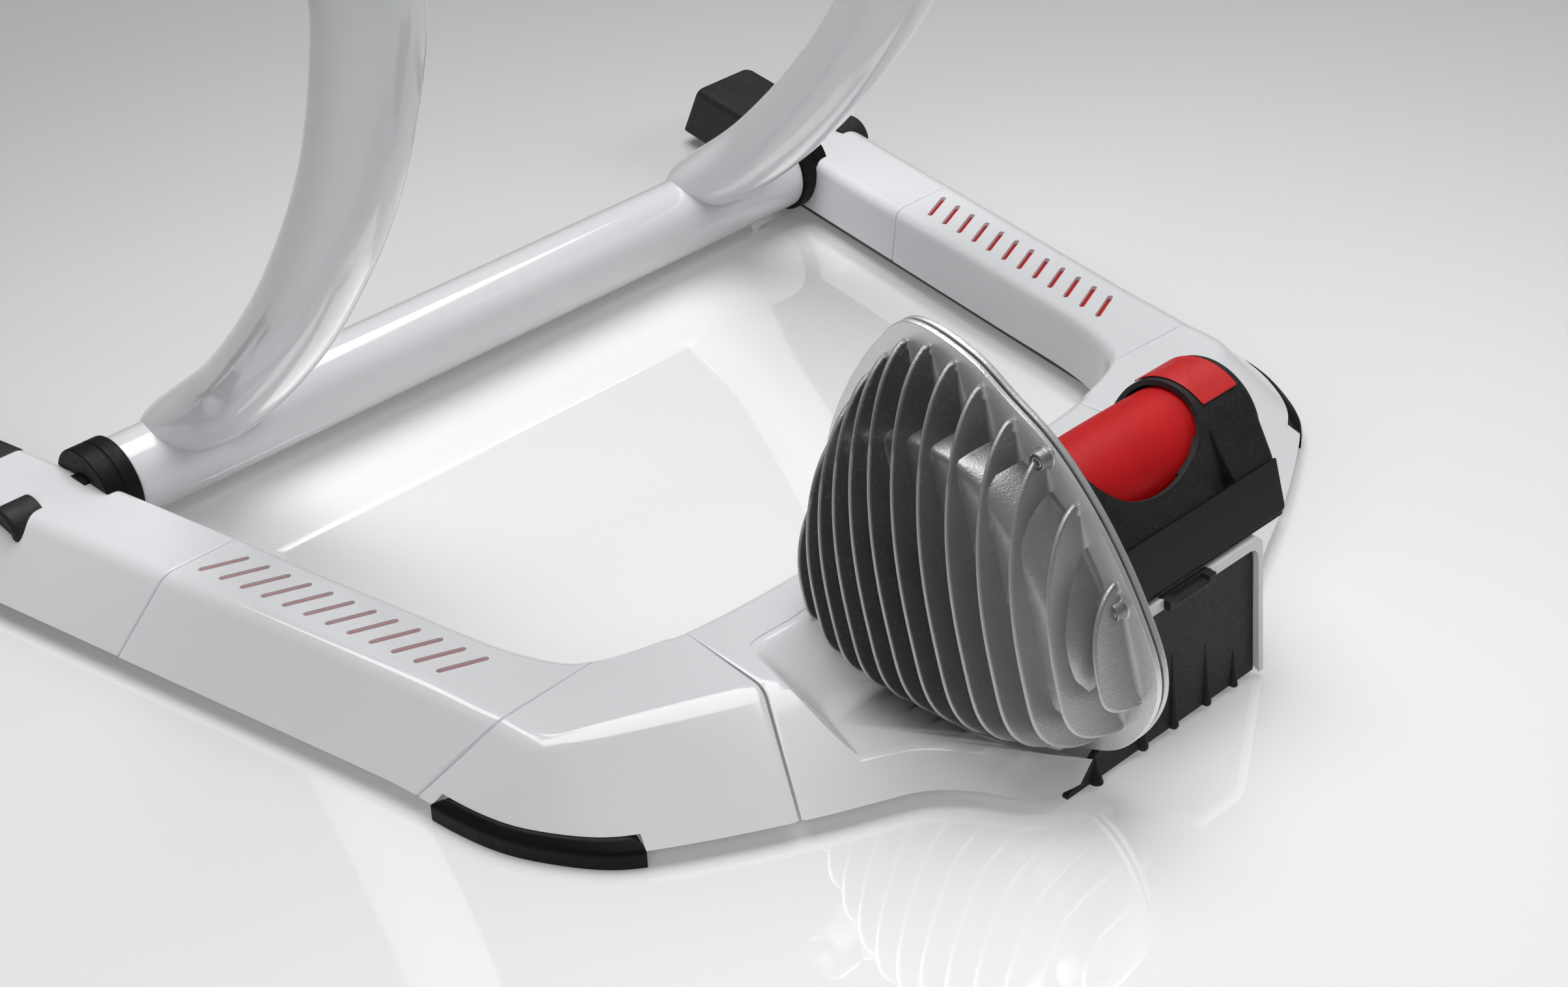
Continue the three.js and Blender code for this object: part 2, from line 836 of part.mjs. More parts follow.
function pocket(grow) {
  const [centreX, centreY] = [
    -pocketCentreShares[0] * cornerHalfWidth, -pocketCentreShares[1] * rearReach,
  ];
  const scale = 1 + grow / (cornerHalfWidth / 2);
  const ring = (shares, z) => shares.map(([x, y]) => new THREE.Vector3(
    centreX + (-x * cornerHalfWidth - centreX) * scale,
    centreY + (-y * rearReach - centreY) * scale,
    z,
  ));
  return skin([
    ring(pocketFloorShares, pocketFloor - grow),
    ring(pocketRimShares, coverTop),
    ring(pocketRimShares, coverTop + overrun),
  ]);
}

function middleCover() {
  const [right, left] = [bridgeRightShares, bridgeLeftShares].map((shares) => {
    const half = shares.map(sharedStation);
    return [moved(half[0], -2 * fit, 0), ...half.slice(1)];
  });
  const flip = (item) => ({
    inner: new THREE.Vector2(-item.inner.x, item.inner.y),
    outer: new THREE.Vector2(-item.outer.x, item.outer.y),
    bottom: new THREE.Vector2(-item.bottom.x, item.bottom.y),
  });
  const places = [...right, ...left.map(flip).reverse()];
  const bridge = solid(coverShell(places));
  const room = solid(skin(places.map(
    (item) => outerRing(item, innerTop, coverBottom, wall, coverRound - wall),
  )));
  const towerRoom = solid(tower(wall));
  const towerShell = solid(tower(0)).subtract(towerRoom).subtract(room);
  const whole = solid(coverSolid(places)).add(solid(tower(0)));
  const scoop = solid(pocket(0)).add(solid(housingClearance(0)));
  const lining = solid(pocket(wall)).add(solid(housingClearance(wall)));
  const shell = bridge.subtract(towerRoom)
    .add(towerShell)
    .add(lining.subtract(scoop).intersect(whole))
    .subtract(scoop)
    .subtract(solid(bracketBody(fit)));
  const opened = shell
    .subtract(solid(unitBed(fit)))
    .subtract(solid(panelOpening()))
    .subtract(solid(clipBody(fit)));
  return geometryOf(largest(opened));
}

// Space kept round the finned housing, which narrows with the fins
const clearanceShares = [1, 1, 0.95, 0.82];

function housingClearance(grow) {
  const margin = 2 * wall + fit + grow;
  const level = (x, scale) => outlineRing(x, scale * (1 + margin / housingReach));
  const levels = [
    plateFaceX + fit + grow,
    housingFaceX,
    housingFaceX - (domeDepth + margin) / 2,
    housingFaceX - domeDepth - margin,
  ];
  const rings = levels.map((x, i) => level(x, clearanceShares[i]));
  return skin(rings).applyMatrix4(unit.matrix);
}

function panelPlane(z) {
  return -rearReach + towerLean * (z / towerTop) + panelRecess;
}

function panelProfile(depth, bottom, top, grow) {
  return polygon([
    [panelPlane(bottom) - grow, bottom - grow],
    [panelPlane(top) - grow, top + grow],
    [panelPlane(top) + depth + grow, top + grow],
    [panelPlane(bottom) + depth + grow, bottom - grow],
  ]);
}

// The panel's skirt runs on under the brake, below a slanted edge
function panelSkirt(front, back, grow) {
  const corners = [
    [skirtLeftX - grow, trayBottom - grow],
    [panelLeftX + wall, trayBottom - grow],
    [panelLeftX + wall, skirtTop + grow],
    [skirtLeftX + skirtSlope, skirtTop + grow],
    [skirtLeftX - grow, trayBottom + skirtToe + grow],
  ];
  return skin([front, back].map((depth) => corners.map(
    ([x, z]) => new THREE.Vector3(x, panelPlane(z) + depth, z),
  )));
}

function panelOpening() {
  const profile = panelProfile(panelThickness, trayBottom, panelTop, overrun / 2 + fit);
  const block = prismX(profile, panelLeftX - fit, panelRightX + fit);
  const cap = boxBetween(-cornerHalfWidth, cornerHalfWidth, -2 * rearReach, 0,
    panelTop + fit, 2 * panelTop);
  return join(cut(block, cap), panelSkirt(-overrun, panelThickness + fit, fit));
}

function rearPanel() {
  const plate = prismX(
    panelProfile(panelThickness, trayBottom, panelTop, 0), panelLeftX, panelRightX,
  );
  const ribs = [];
  for (let i = 0; i < panelRibCount; i += 1) {
    const x = skirtLeftX + panelRibStart + i * panelRibPitch;
    const top = x < panelLeftX ? skirtTop / 2 : panelRibHeight - i * panelRibDrop;
    const profile = polygon([
      [panelPlane(top) + fit, top],
      [panelPlane(top) + panelThickness / 2, top],
      [panelPlane(trayBottom) + panelThickness / 2, trayBottom],
      [panelPlane(trayBottom) - panelRibProud, trayBottom],
    ]);
    ribs.push(prismX(profile, x - panelRibWidth / 2, x + panelRibWidth / 2));
  }
  return join(plate, panelSkirt(0, panelThickness, 0), ...ribs);
}

// The latch on top of the rear panel, drawn in Y and Z
function clipBody(grow) {
  const y = -rearReach + towerLean - clipDepth / 2;
  return boxBetween(
    clipLeftX - grow, clipRightX + grow,
    y - grow, y + clipDepth + grow,
    panelTop + fit - (grow ? fit : 0), towerTop - fit + (grow ? overrun : 0),
  );
}

function crossBar() {
  return boxBetween(-crossBarHalf, crossBarHalf, -crossBarY - crossBarThickness,
    -crossBarY, trayTop - basePlateThickness, crossBarTop);
}

// Outside of the bracket: upright at the rear, splayed at the front, slanted on top
function bracketBody(grow, reach = grow) {
  const bed = -unitBottom + carrierThickness / 2;
  const rearTop = unitPoint(0, -bracketHalfLength, bed);
  const frontTop = unitPoint(0, bracketHalfLength, bed);
  const foot = grow < 0 ? -overrun : trayTop;
  const profile = polygon([
    [rearTop.y - grow, foot],
    [rearTop.y - grow, rearTop.z + grow],
    [frontTop.y + grow, frontTop.z + grow],
    [frontTop.y + bracketToe + grow, foot],
  ]);
  return prismX(profile, bracketLeftX - reach, bracketRightX + reach);
}

// The bracket stands on its foot plate and carries the roller unit on its slanted top
function unitBracket() {
  const foot = trayTop - basePlateThickness;
  const rear = unitPoint(0, -bracketHalfLength, -unitBottom).y;
  const plate = boxBetween(bracketLeftX, bracketRightX, rear,
    -crossBarY - crossBarThickness - fit, foot, trayTop + fit);
  const fold = cut(bracketBody(0), bracketBody(-bracketWall, overrun));
  return cut(join(fold, plate), unitBoltBores());
}

// Roller unit: every size here is in the unit's own leaning frame

function hoodProfile(inset) {
  const radius = hoodRadius - inset;
  const side = unitHalfWidth - inset;
  const shape = new THREE.Shape();
  shape.moveTo(side, -unitBottom);
  shape.lineTo(side, -hoodShoulder);
  shape.absarc(0, 0, radius, 0, Math.PI, false);
  shape.lineTo(-side, -hoodShoulder);
  shape.lineTo(-side, -unitBottom);
  return shape;
}

function unitCover() {
  const left = plateFaceX + fit;
  const outer = prismX(hoodProfile(0), left, unitRightX);
  const inner = prismX(hoodProfile(wall), left - overrun, unitRightX - wall);
  const below = boxBetween(left - overrun, unitRightX - wall, -unitHalfWidth + wall,
    unitHalfWidth - wall, -unitBottom - overrun, -unitBottom + fit);
  return cut(outer, inner, below, rollerWindow());
}

// The opening through which the tyre meets the roller: half an ellipse below the hood's crown
function rollerWindow() {
  const shape = new THREE.Shape();
  shape.absellipse(windowMiddleX, hoodRadius, windowHalfWidth, windowDrop, -Math.PI, 0, false, 0);
  shape.lineTo(windowMiddleX + windowHalfWidth, 2 * hoodRadius);
  shape.lineTo(windowMiddleX - windowHalfWidth, 2 * hoodRadius);
  const depth = 4 * unitHalfWidth;
  const options = { depth, bevelEnabled: false, curveSegments: 10 };
  const body = new THREE.ExtrudeGeometry(shape, options);
  return body.rotateX(Math.PI / 2).translate(0, depth / 2, 0);
}

function hoodPatch() {
  const inner = hoodRadius + fit;
  const shape = new THREE.Shape();
  shape.absarc(0, 0, inner + trimThickness, patchFrom, patchTo, false);
  shape.absarc(0, 0, inner, patchTo, patchFrom, true);
  const left = windowMiddleX + windowHalfWidth + wall;
  return prismX(shape, left, left + patchWidth);
}

function labelPlate() {
  const y = -unitHalfWidth - fit;
  return boxBetween(plateFaceX + 2 * fit, unitRightX - fit, y - trimThickness, y,
    -labelBottom, -labelTop);
}

function carrier() {
  const bottom = -unitBottom + wall;
  const left = plateFaceX + fit;
  const right = carrierWallX + carrierWallWidth;
  const floor = boxBetween(left, right, -carrierHalfWidth, carrierHalfWidth,
    bottom, bottom + carrierThickness);
  const wallBetween = (x0, x1, radius) => join(
    boxBetween(x0, x1, -radius, radius, bottom + carrierThickness / 2, 0),
    cylinderX(radius, x0, x1, 0, 0, 32),
  );
  const leftWall = wallBetween(left, left + carrierThickness + wall, carrierTopRadius);
  const rightWall = wallBetween(carrierWallX, right, carrierTopRadius);
  const bossBore = cylinderX(plateBossRadius + fit, left - overrun,
    left + plateBossLength, 0, 0, 32);
  const bearingBore = cylinderX(bearingRadius + fit, carrierWallX - overrun,
    carrierWallX + bearingWidth + fit, 0, 0, 32);
  const shaftBore = cylinderX(shaftRadius + 2 * fit + wall, carrierWallX,
    right + overrun, 0, 0, 32);
  return cut(join(floor, leftWall, rightWall), bossBore, bearingBore, shaftBore, localBoltBores());
}

function unitBoltPlaces() {
  const y = carrierHalfWidth - unitBoltInset;
  return [
    [bracketLeftX + unitBoltInset + bracketWall, y],
    [bracketRightX - unitBoltInset - bracketWall, -y],
  ];
}

function boltAlongZ(radius, z0, z1, x, y, sides) {
  const body = new THREE.CylinderGeometry(radius, radius, z1 - z0, sides);
  return body.rotateX(Math.PI / 2).translate(x, y, (z0 + z1) / 2);
}

function localBoltBores() {
  const top = -unitBottom + overrun;
  const bores = unitBoltPlaces().map(
    ([x, y]) => boltAlongZ(unitBoltRadius + fit, -unitBottom - overrun, top, x, y, 12),
  );
  return mergeGeometries(bores);
}

function unitBoltBores() {
  return localBoltBores().applyMatrix4(unit.matrix);
}

function unitBolt([x, y]) {
  const seat = -unitBottom + wall + carrierThickness + fit;
  return join(
    boltAlongZ(unitBoltHeadRadius, seat, seat + unitBoltHead, x, y, 6),
    boltAlongZ(unitBoltRadius, -unitBottom - carrierThickness, seat + unitBoltHead / 2, x, y, 12),
  );
}

// Fluid brake

// Outline of the brake's flange: shares of its reach, in Y and Z
const housingShares = [
  [0.38, 0.97], [0.05, 0.83], [-0.14, 0.647], [-0.33, 0.45], [-0.52, 0.12],
  [-0.65, -0.28], [-0.685, -0.6], [-0.6, -0.8], [-0.35, -1], [0.1, -1.02],
  [0.5, -0.94], [0.84, -0.83], [1.08, -0.68], [1.22, -0.42], [1.23, -0.05],
  [1.09, 0.33], [0.86, 0.63], [0.61, 0.85],
];
const outlineSteps = 36;
const outlineCentreShare = [0.28, -0.12];

function housingOutline(scale = 1) {
  const points = housingShares.map(
    ([y, z]) => new THREE.Vector3(y * housingReach, z * housingReach, 0),
  );
  const curve = new THREE.CatmullRomCurve3(points, true, 'centripetal');
  const centre = new THREE.Vector2(...outlineCentreShare).multiplyScalar(housingReach);
  return curve.getPoints(outlineSteps).slice(0, -1).map((point) => new THREE.Vector2(
    centre.x + (point.x - centre.x) * scale,
    centre.y + (point.y - centre.y) * scale,
  ));
}

function outlineRing(x, scale) {
  return housingOutline(scale).map((point) => new THREE.Vector3(x, point.x, point.y));
}

function outlinePlate(x0, x1, inset) {
  const scale = 1 - inset / housingReach;
  return skin([outlineRing(x0, scale), outlineRing(x1, scale)]);
}

// Places of the flange screws, in the same shares as the outline
const flangeScrewShares = [
  [-0.296, 0.4], [-0.55, -0.27], [-0.05, -0.91], [0.75, -0.77], [1.12, -0.25],
];

function flangeScrewPlaces() {
  return flangeScrewShares.map(
    ([y, z]) => new THREE.Vector2(y * housingReach, z * housingReach),
  );
}

function flangeBores(radius, x0, x1) {
  const bores = flangeScrewPlaces().map((at) => cylinderX(radius, x0, x1, at.x, at.y, 12));
  return mergeGeometries(bores);
}

function backPlate() {
  const plate = outlinePlate(plateFaceX - plateThickness, plateFaceX, 0);
  const right = plateFaceX + plateBossLength;
  const boss = cylinderX(plateBossRadius, plateFaceX - plateThickness / 2, right, 0, 0, 32);
  const bearingBore = cylinderX(bearingRadius + fit, right - bearingWidth - fit,
    right + overrun, 0, 0, 32);
  const shaftBore = cylinderX(shaftRadius + 2 * fit, plateFaceX - overrun, right, 0, 0, 24);
  const sealBore = cylinderX(sealRadius + fit, plateFaceX - overrun,
    plateFaceX - plateThickness + sealWidth + fit, 0, 0, 24);
  const screws = flangeBores(flangeScrewRadius + fit, plateFaceX - overrun, plateFaceX + overrun);
  return cut(join(plate, boss), bearingBore, shaftBore, sealBore, screws);
}

function brakeGasket() {
  const plate = outlinePlate(gasketX - gasketThickness, gasketX, gasketInset);
  const bore = cylinderX(chamberRadius, gasketX - overrun, gasketX + overrun, 0, 0, 32);
  const screws = flangeBores(flangeScrewRadius + fit, gasketX - overrun, gasketX + overrun);
  return cut(plate, bore, screws);
}

// Lowest and highest point of an outline at one y
function outlineSpan(outline, y) {
  const heights = [];
  outline.forEach((point, i) => {
    const next = outline[(i + 1) % outline.length];
    if ((point.x - y) * (next.x - y) < 0) {
      const share = (y - point.x) / (next.x - point.x);
      heights.push(point.y + share * (next.y - point.y));
    }
  });
  return heights.length ? [Math.min(...heights), Math.max(...heights)] : null;
}

const finSteps = 9;
const finEdgeShare = 0.07;
const finPeakShare = 0.2;
const finArchPower = 0.64;
const finDomePower = 0.37;
const finUpperPower = 2.4;
const finLowerPower = 3.6;

// How far a fin stands out: a soft arch that falls steeply at both ends
function finArch(share, power) {
  return (1 - share ** power) ** finArchPower;
}

function fin(y) {
  const outline = housingOutline(1 - finEdgeShare);
  const [low, high] = outlineSpan(outline, y);
  const middle = domeCentreShare * housingReach;
  const half = domeHalfShare * housingReach;
  const peak = domeDepth * Math.max(1 - ((y - middle) / half) ** 2, 0) ** finDomePower;
  const peakZ = low + (high - low) * (1 / 2 - finPeakShare);
  const points = [];
  for (let i = 0; i <= finSteps; i += 1) {
    const angle = (Math.PI / 2) * (1 - i / finSteps);
    const share = Math.sin(angle);
    points.push([peak * finArch(share, finUpperPower), peakZ + (high - peakZ) * share]);
  }
  for (let i = finSteps - 1; i >= 0; i -= 1) {
    const angle = (Math.PI / 2) * (1 - i / finSteps);
    const share = Math.sin(angle);
    points.push([peak * finArch(share, finLowerPower), peakZ - (peakZ - low) * share]);
  }
  const shape = polygon([[-plateThickness / 2, high], ...points, [-plateThickness / 2, low]]);
  const options = { depth: finThickness, bevelEnabled: false };
  const body = new THREE.ExtrudeGeometry(shape, options);
  const turn = new THREE.Matrix4().makeBasis(
    new THREE.Vector3(-1, 0, 0),
    new THREE.Vector3(0, 0, 1),
    new THREE.Vector3(0, 1, 0),
  );
  return body.applyMatrix4(turn).translate(housingFaceX, y - finThickness / 2, 0);
}

function finnedHousing() {
  const flange = outlinePlate(housingFaceX, housingX, 0);
  const [drumY, drumZ] = drumCentreShares.map((share) => share * housingReach);
  const round = cylinderX(drumRadius, housingFaceX - drumDepth, housingX, drumY, drumZ, 40);
  const envelope = skin([
    outlineRing(housingX, 1 - 2 * finEdgeShare),
    outlineRing(housingFaceX - drumDepth, 1 - 4 * finEdgeShare),
  ]);
  const chamberEnd = housingX - chamberDepth - plateThickness;
  const chamberBoss = cylinderX(chamberRadius + plateThickness, chamberEnd, housingX, 0, 0, 28);
  let body = solid(flange).add(solid(common(round, envelope))).add(solid(chamberBoss));
  for (let i = 0; i < finCount; i += 1) {
    body = body.add(solid(fin((finFirstShare + i * finPitchShare) * housingReach)));
  }
  const bossEnd = housingX - screwBossLength;
  const seat = bossEnd + flangeScrewHead;
  for (const at of flangeScrewPlaces()) {
    body = body.add(solid(cylinderX(screwBossRadius, bossEnd, housingX, at.x, at.y, 16)));
  }
  const chamber = cylinderX(chamberRadius, housingX - chamberDepth, housingX + overrun, 0, 0, 32);
  const screws = flangeBores(flangeScrewRadius + fit, bossEnd - overrun, housingX + overrun);
  const heads = flangeBores(flangeScrewHeadRadius + fit, bossEnd - overrun, seat);
  return geometryOf(body.subtract(solid(chamber)).subtract(solid(screws)).subtract(solid(heads)));
}

function flangeScrew(at) {
  const seat = housingX - screwBossLength + flangeScrewHead - fit;
  return join(
    cylinderX(flangeScrewHeadRadius, seat - flangeScrewHead, seat, at.x, at.y, 6),
    cylinderX(flangeScrewRadius, seat - fit, plateFaceX, at.x, at.y, 12),
  );
}

function bearing(x0) {
  return ringX(shaftRadius + fit, bearingRadius, x0, x0 + bearingWidth, 24);
}

// Turning parts

function rollerSleeve() {
  const bore = rollerCoreRadius + fit;
  const middle = (rollerLeftX + rollerRightX) / 2;
  return turnedX([
    [bore, rollerLeftX],
    [rollerRadius - rollerCrown, rollerLeftX],
    [rollerRadius + rollerCrown, middle],
    [rollerRadius - rollerCrown, rollerRightX],
    [bore, rollerRightX],
    [bore, rollerLeftX],
  ], 40);
}

function rollerCore() {
  return ringX(shaftRadius + fit, rollerCoreRadius, rollerLeftX, rollerRightX, 32);
}

function impellerLeftX() {
  return housingX - chamberDepth + (chamberDepth - impellerLength) / 2;
}

function rollerShaft() {
  const left = impellerLeftX();
  const right = carrierWallX + carrierWallWidth + wall;
  return turnedX([[0, left], [shaftRadius, left], [shaftRadius, right], [0, right]], 24);
}

function impeller() {
  const left = impellerLeftX();
  const right = left + impellerLength;
  const hub = cylinderX(impellerHubRadius, left, right, 0, 0, 24);
  const blades = [];
  for (let i = 0; i < impellerBlades; i += 1) {
    const blade = boxBetween(left, right, -impellerBladeWidth / 2, impellerBladeWidth / 2,
      shaftRadius + wall, impellerRadius);
    blades.push(blade.rotateX((i * 2 * Math.PI) / impellerBlades));
  }
  const bore = cylinderX(shaftRadius + fit, left - overrun, right + overrun, 0, 0, 24);
  return cut(join(hub, ...blades), bore);
}

// Swing arms

// Path of an arm from the pivot tube to the axle: shares of the run in Y and of the rise
const armShares = [
  [1.026, 0.033], [0.806, 0.129], [0.55, 0.271], [0.35, 0.411],
  [0.135, 0.609], [0.019, 0.79], [-0.01, 0.877], [-0.005, 1],
];
const armRings = 13;
const armSides = 16;
const armBoreSides = 12;
const armNeckShare = 0.16;

function armPath() {
  const rise = axleHeight - pivotZ;
  const points = armShares.map(
    ([run, lift]) => new THREE.Vector3(armX, run * pivotY, pivotZ + lift * rise),
  );
  return new THREE.CatmullRomCurve3(points, false, 'centripetal');
}

function armTube(inset, sides) {
  const path = armPath();
  const rings = [];
  for (let i = 0; i < armRings; i += 1) {
    const share = i / (armRings - 1);
    const centre = path.getPointAt(share);
    const along = path.getTangentAt(share);
    const across = new THREE.Vector3(1, 0, 0);
    const normal = new THREE.Vector3().crossVectors(across, along).normalize();
    const neck = THREE.MathUtils.smoothstep(share, 0, armNeckShare);
    const rest = Math.max(share - armNeckShare, 0) / (1 - armNeckShare);
    const neckHalf = THREE.MathUtils.lerp(armNeckHalfX, armTopHalfX, rest);
    const halfX = THREE.MathUtils.lerp(armRootHalfX, neckHalf, neck) - inset;
    const half = THREE.MathUtils.lerp(armRootHalf, armTopHalf, share) - inset;
    const ring = [];
    for (let k = 0; k < sides; k += 1) {
      const angle = (2 * Math.PI * k) / sides;
      ring.push(centre.clone()
        .addScaledVector(across, halfX * Math.cos(angle))
        .addScaledVector(normal, half * Math.sin(angle)));
    }
    rings.push(ring);
  }
  return skin(rings);
}

function arm() {
  const tubeCut = cylinderX(crossTubeRadius + fit, 0, crossTubeHalf + overrun, pivotY, pivotZ, 36);
  const clampCut = cylinderX(clampRadius + fit, 0, clampOuterX + overrun, 0, axleHeight, 28);
  const above = boxBetween(0, 2 * armX, -overrun - armTopHalf, overrun + armTopHalf,
    axleHeight, 2 * axleHeight);
  const below = boxBetween(0, 2 * armX, -pivotY, 2 * pivotY, -pivotZ, pivotZ);
  return cut(armTube(0, armSides), armTube(wall, armBoreSides), tubeCut, clampCut, above, below);
}

function crossTube() {
  return ringX(crossTubeRadius - wall, crossTubeRadius, -crossTubeHalf, crossTubeHalf, 40)
    .translate(0, pivotY, pivotZ);
}

// Axle clamps, drawn about the axle and then lifted to it

function clampBody(bore) {
  return ringX(bore + fit, clampRadius, clampInnerX, clampOuterX, 32);
}

// Right clamp body: a step at its inner end carries the spring
function leverClampBody() {
  const bore = springRadius + 2 * fit;
  return turnedX([
    [plungerRadius + fit, clampInnerX],
    [clampRadius, clampInnerX],
    [clampRadius, clampOuterX],
    [bore, clampOuterX],
    [bore, springSeatX()],
    [plungerRadius + fit, springSeatX()],
    [plungerRadius + fit, clampInnerX],
  ]);
}

function springSeatX() {
  return clampOuterX - clevisSpigot - camTravel - 2 * fit - collarLength - springLength;
}

// The clevis closes the right clamp body and holds the lever between two ears
function leverClevis() {
  const face = clampOuterX + fit;
  const end = face + clevisLength;
  const spigot = cylinderX(springRadius + fit, clampOuterX - clevisSpigot, face + wall, 0, 0, 24);
  const flange = cylinderX(clampRadius, face, face + clevisFlange, 0, 0, 24);
  const ears = boxBetween(face, end, -clevisWidth / 2, clevisWidth / 2,
    -clampRadius / Math.SQRT2, clampRadius / Math.SQRT2);
  const slot = boxBetween(face, end + overrun, -clevisSlot / 2, clevisSlot / 2,
    -overrun, overrun);
  const stem = cylinderX(plungerStemRadius + fit, clampOuterX - 2 * clevisSpigot,
    face + overrun, 0, 0, 24);
  return cut(join(spigot, flange, ears), slot, stem, pinBore());
}

function pinX() {
  return clampOuterX + camRadius + 2 * fit;
}

function pinBore() {
  const bore = new THREE.CylinderGeometry(camPinRadius + fit, camPinRadius + fit,
    2 * clevisWidth, 16);
  return bore.translate(pinX(), 0, 0);
}

function leverPin() {
  const pin = new THREE.CylinderGeometry(camPinRadius, camPinRadius, clevisWidth + wall, 16);
  return pin.translate(pinX(), 0, 0);
}

// The cam's reach falls evenly as the lever opens, so the plunger follows it evenly
function camShape() {
  const points = [];
  for (let i = 0; i < camSteps; i += 1) {
    const angle = (2 * Math.PI * i) / camSteps;
    const fall = Math.min(angle / leverSwing, 1);
    const rise = Math.max((angle - 2 * Math.PI) / camReturn + 1, 0);
    const reach = camRadius - camTravel * (fall - rise);
    points.push([pinX() - reach * Math.cos(angle), reach * Math.sin(angle)]);
  }
  return polygon(points);
}

// A plate of the lever: a shape drawn in X and Z, centred on the pin
function leverPlate(shape, width) {
  const options = { depth: width, bevelEnabled: false, curveSegments: 6 };
  const body = new THREE.ExtrudeGeometry(shape, options);
  return body.rotateX(Math.PI / 2).translate(0, width / 2, 0);
}

function clampLever() {
  const half = leverSpread / 2;
  const start = pinX() - camPinRadius;
  const bow = leverThickness;
  const shape = new THREE.Shape();
  shape.moveTo(start, 0);
  shape.lineTo(start + leverThickness, 0);
  shape.quadraticCurveTo(start + leverThickness + bow, -leverLength / 2,
    start + leverThickness, -leverLength);
  shape.lineTo(start, -leverLength);
  shape.quadraticCurveTo(start + bow, -leverLength / 2, start, 0);
  const width = clevisSlot - 2 * fit;
  const paddle = boxBetween(start - overrun, start + overrun, -half, half,
    -leverLength, -leverLength + 2 * leverSpread);
  const grip = common(leverPlate(shape, leverSpread), paddle);
  return cut(join(leverPlate(camShape(), width), leverPlate(shape, width), grip), pinBore());
}

function cupProfile(stemRadius, stemEnd) {
  const mouth = cupMouthRadius / 2;
  return [
    [0, cupFaceX + cupMouthDepth],
    [mouth, cupFaceX + cupMouthDepth],
    [cupMouthRadius, cupFaceX],
    [cupRadius, cupFaceX],
    [cupRadius, cupFaceX + cupDepth],
    [stemRadius, cupFaceX + cupDepth],
    [stemRadius, stemEnd],
    [0, stemEnd],
  ];
}

function plunger() {
  const collar = springSeatX() + springLength;
  const profile = cupProfile(plungerRadius, collar).slice(0, -1);
  return turnedX([
    ...profile,
    [springRadius, collar],
    [springRadius, collar + collarLength],
    [plungerStemRadius, collar + collarLength],
    [plungerStemRadius, clampOuterX],
    [0, clampOuterX],
  ]);
}

function plungerSpring() {
  const start = springSeatX() + fit;
  return ringX(plungerRadius + fit, springRadius, start, start + springLength - 2 * fit, 24);
}

function adjusterCup() {
  const socket = cupFaceX + cupMouthDepth + wall;
  const profile = cupProfile(cupRadius, cupFaceX + cupDepth).slice(0, -2);
  profile.push([screwRadius / 2 + fit, cupFaceX + cupDepth]);
  profile.push([screwRadius / 2 + fit, socket]);
  profile.push([0, socket]);
  return turnedX(profile);
}

function adjusterScrew() {
  const tip = cupFaceX + cupMouthDepth + wall + fit;
  const face = cupFaceX + cupDepth + fit;
  const knobX = clampOuterX + knobTravel;
  const stem = turnedX([
    [0, tip],
    [screwRadius / 2, tip],
    [screwRadius / 2, face],
    [screwRadius, face],
    [screwRadius, knobX + knobLength / 2],
    [0, knobX + knobLength / 2],
  ], 24);
  return join(stem, knob(knobX));
}

// A knob with finger scallops: its radius waves round the rim
function knob(x) {
  const steps = 6 * knobLobes;
  const ring = (at, radius) => {
    const points = [];
    for (let i = 0; i < steps; i += 1) {
      const angle = (2 * Math.PI * i) / steps;
      const reach = radius - (knobGrip * (1 - Math.cos(knobLobes * angle))) / 2;
      points.push(new THREE.Vector3(at, reach * Math.cos(angle), reach * Math.sin(angle)));
    }
    return points;
  };
  return skin([
    ring(x, knobRadius - wall),
    ring(x + wall, knobRadius),
    ring(x + knobLength - wall, knobRadius),
    ring(x + knobLength, knobRadius - wall),
  ]);
}

function liftedToAxle(geometry) {
  return geometry.translate(0, 0, axleHeight);
}

// Assembly: base
placePair('rail_cover', railCover(), colours.gloss, base);
placePair('front_rail_cover', frontCover(), colours.gloss, base);
placePair('corner_cover', cornerCover(), colours.gloss, base);
place('base_frame', baseFrame(), colours.darkSteel, base);
placePair('slot_insert', slotInsert(), colours.red, base);
placePair('corner_foot', cornerFoot(), colours.rubber, base);
placePair('front_foot', frontFoot(), colours.plastic, base);
placePair('front_pad', frontSole(floorZ, padThickness, padInset), colours.rubber, base);
placePair('pivot_block', pivotBlock(), colours.steel, base);
placePair('pivot_bush', pivotBush(), colours.plastic, base);
placePair('pivot_bolt', pivotBolt(), colours.steel, base);
placePair('pivot_cap', pivotCap(), colours.plastic, base);
place('middle_cover', middleCover(), colours.gloss, base);
place('rear_panel', rearPanel(), colours.plastic, base);
place('panel_latch', clipBody(0), colours.plastic, base);
place('unit_bracket', unitBracket(), colours.darkSteel, base);

// Assembly: roller unit
place('unit_cover', unitCover(), colours.plastic, unit);
place('hood_patch', hoodPatch(), colours.red, unit);
place('label_plate', labelPlate(), colours.label, unit);
place('bearing_carrier', carrier(), colours.casting, unit);
unitBoltPlaces().forEach((at, i) => {
  place(`unit_bolt_${i + 1}`, unitBolt(at), colours.steel, unit);
});
place('brake_back_plate', backPlate(), colours.casting, unit);
place('brake_gasket', brakeGasket(), colours.rubber, unit);
place('finned_housing', finnedHousing(), colours.casting, unit);
flangeScrewPlaces().forEach((at, i) => {
  place(`flange_screw_${i + 1}`, flangeScrew(at), colours.steel, unit);
});
place('shaft_seal', ringX(shaftRadius + fit, sealRadius, plateFaceX - plateThickness,
  plateFaceX - plateThickness + sealWidth, 24), colours.rubber, unit);
place('bearing_left', bearing(plateFaceX + plateBossLength - bearingWidth), colours.steel, unit);
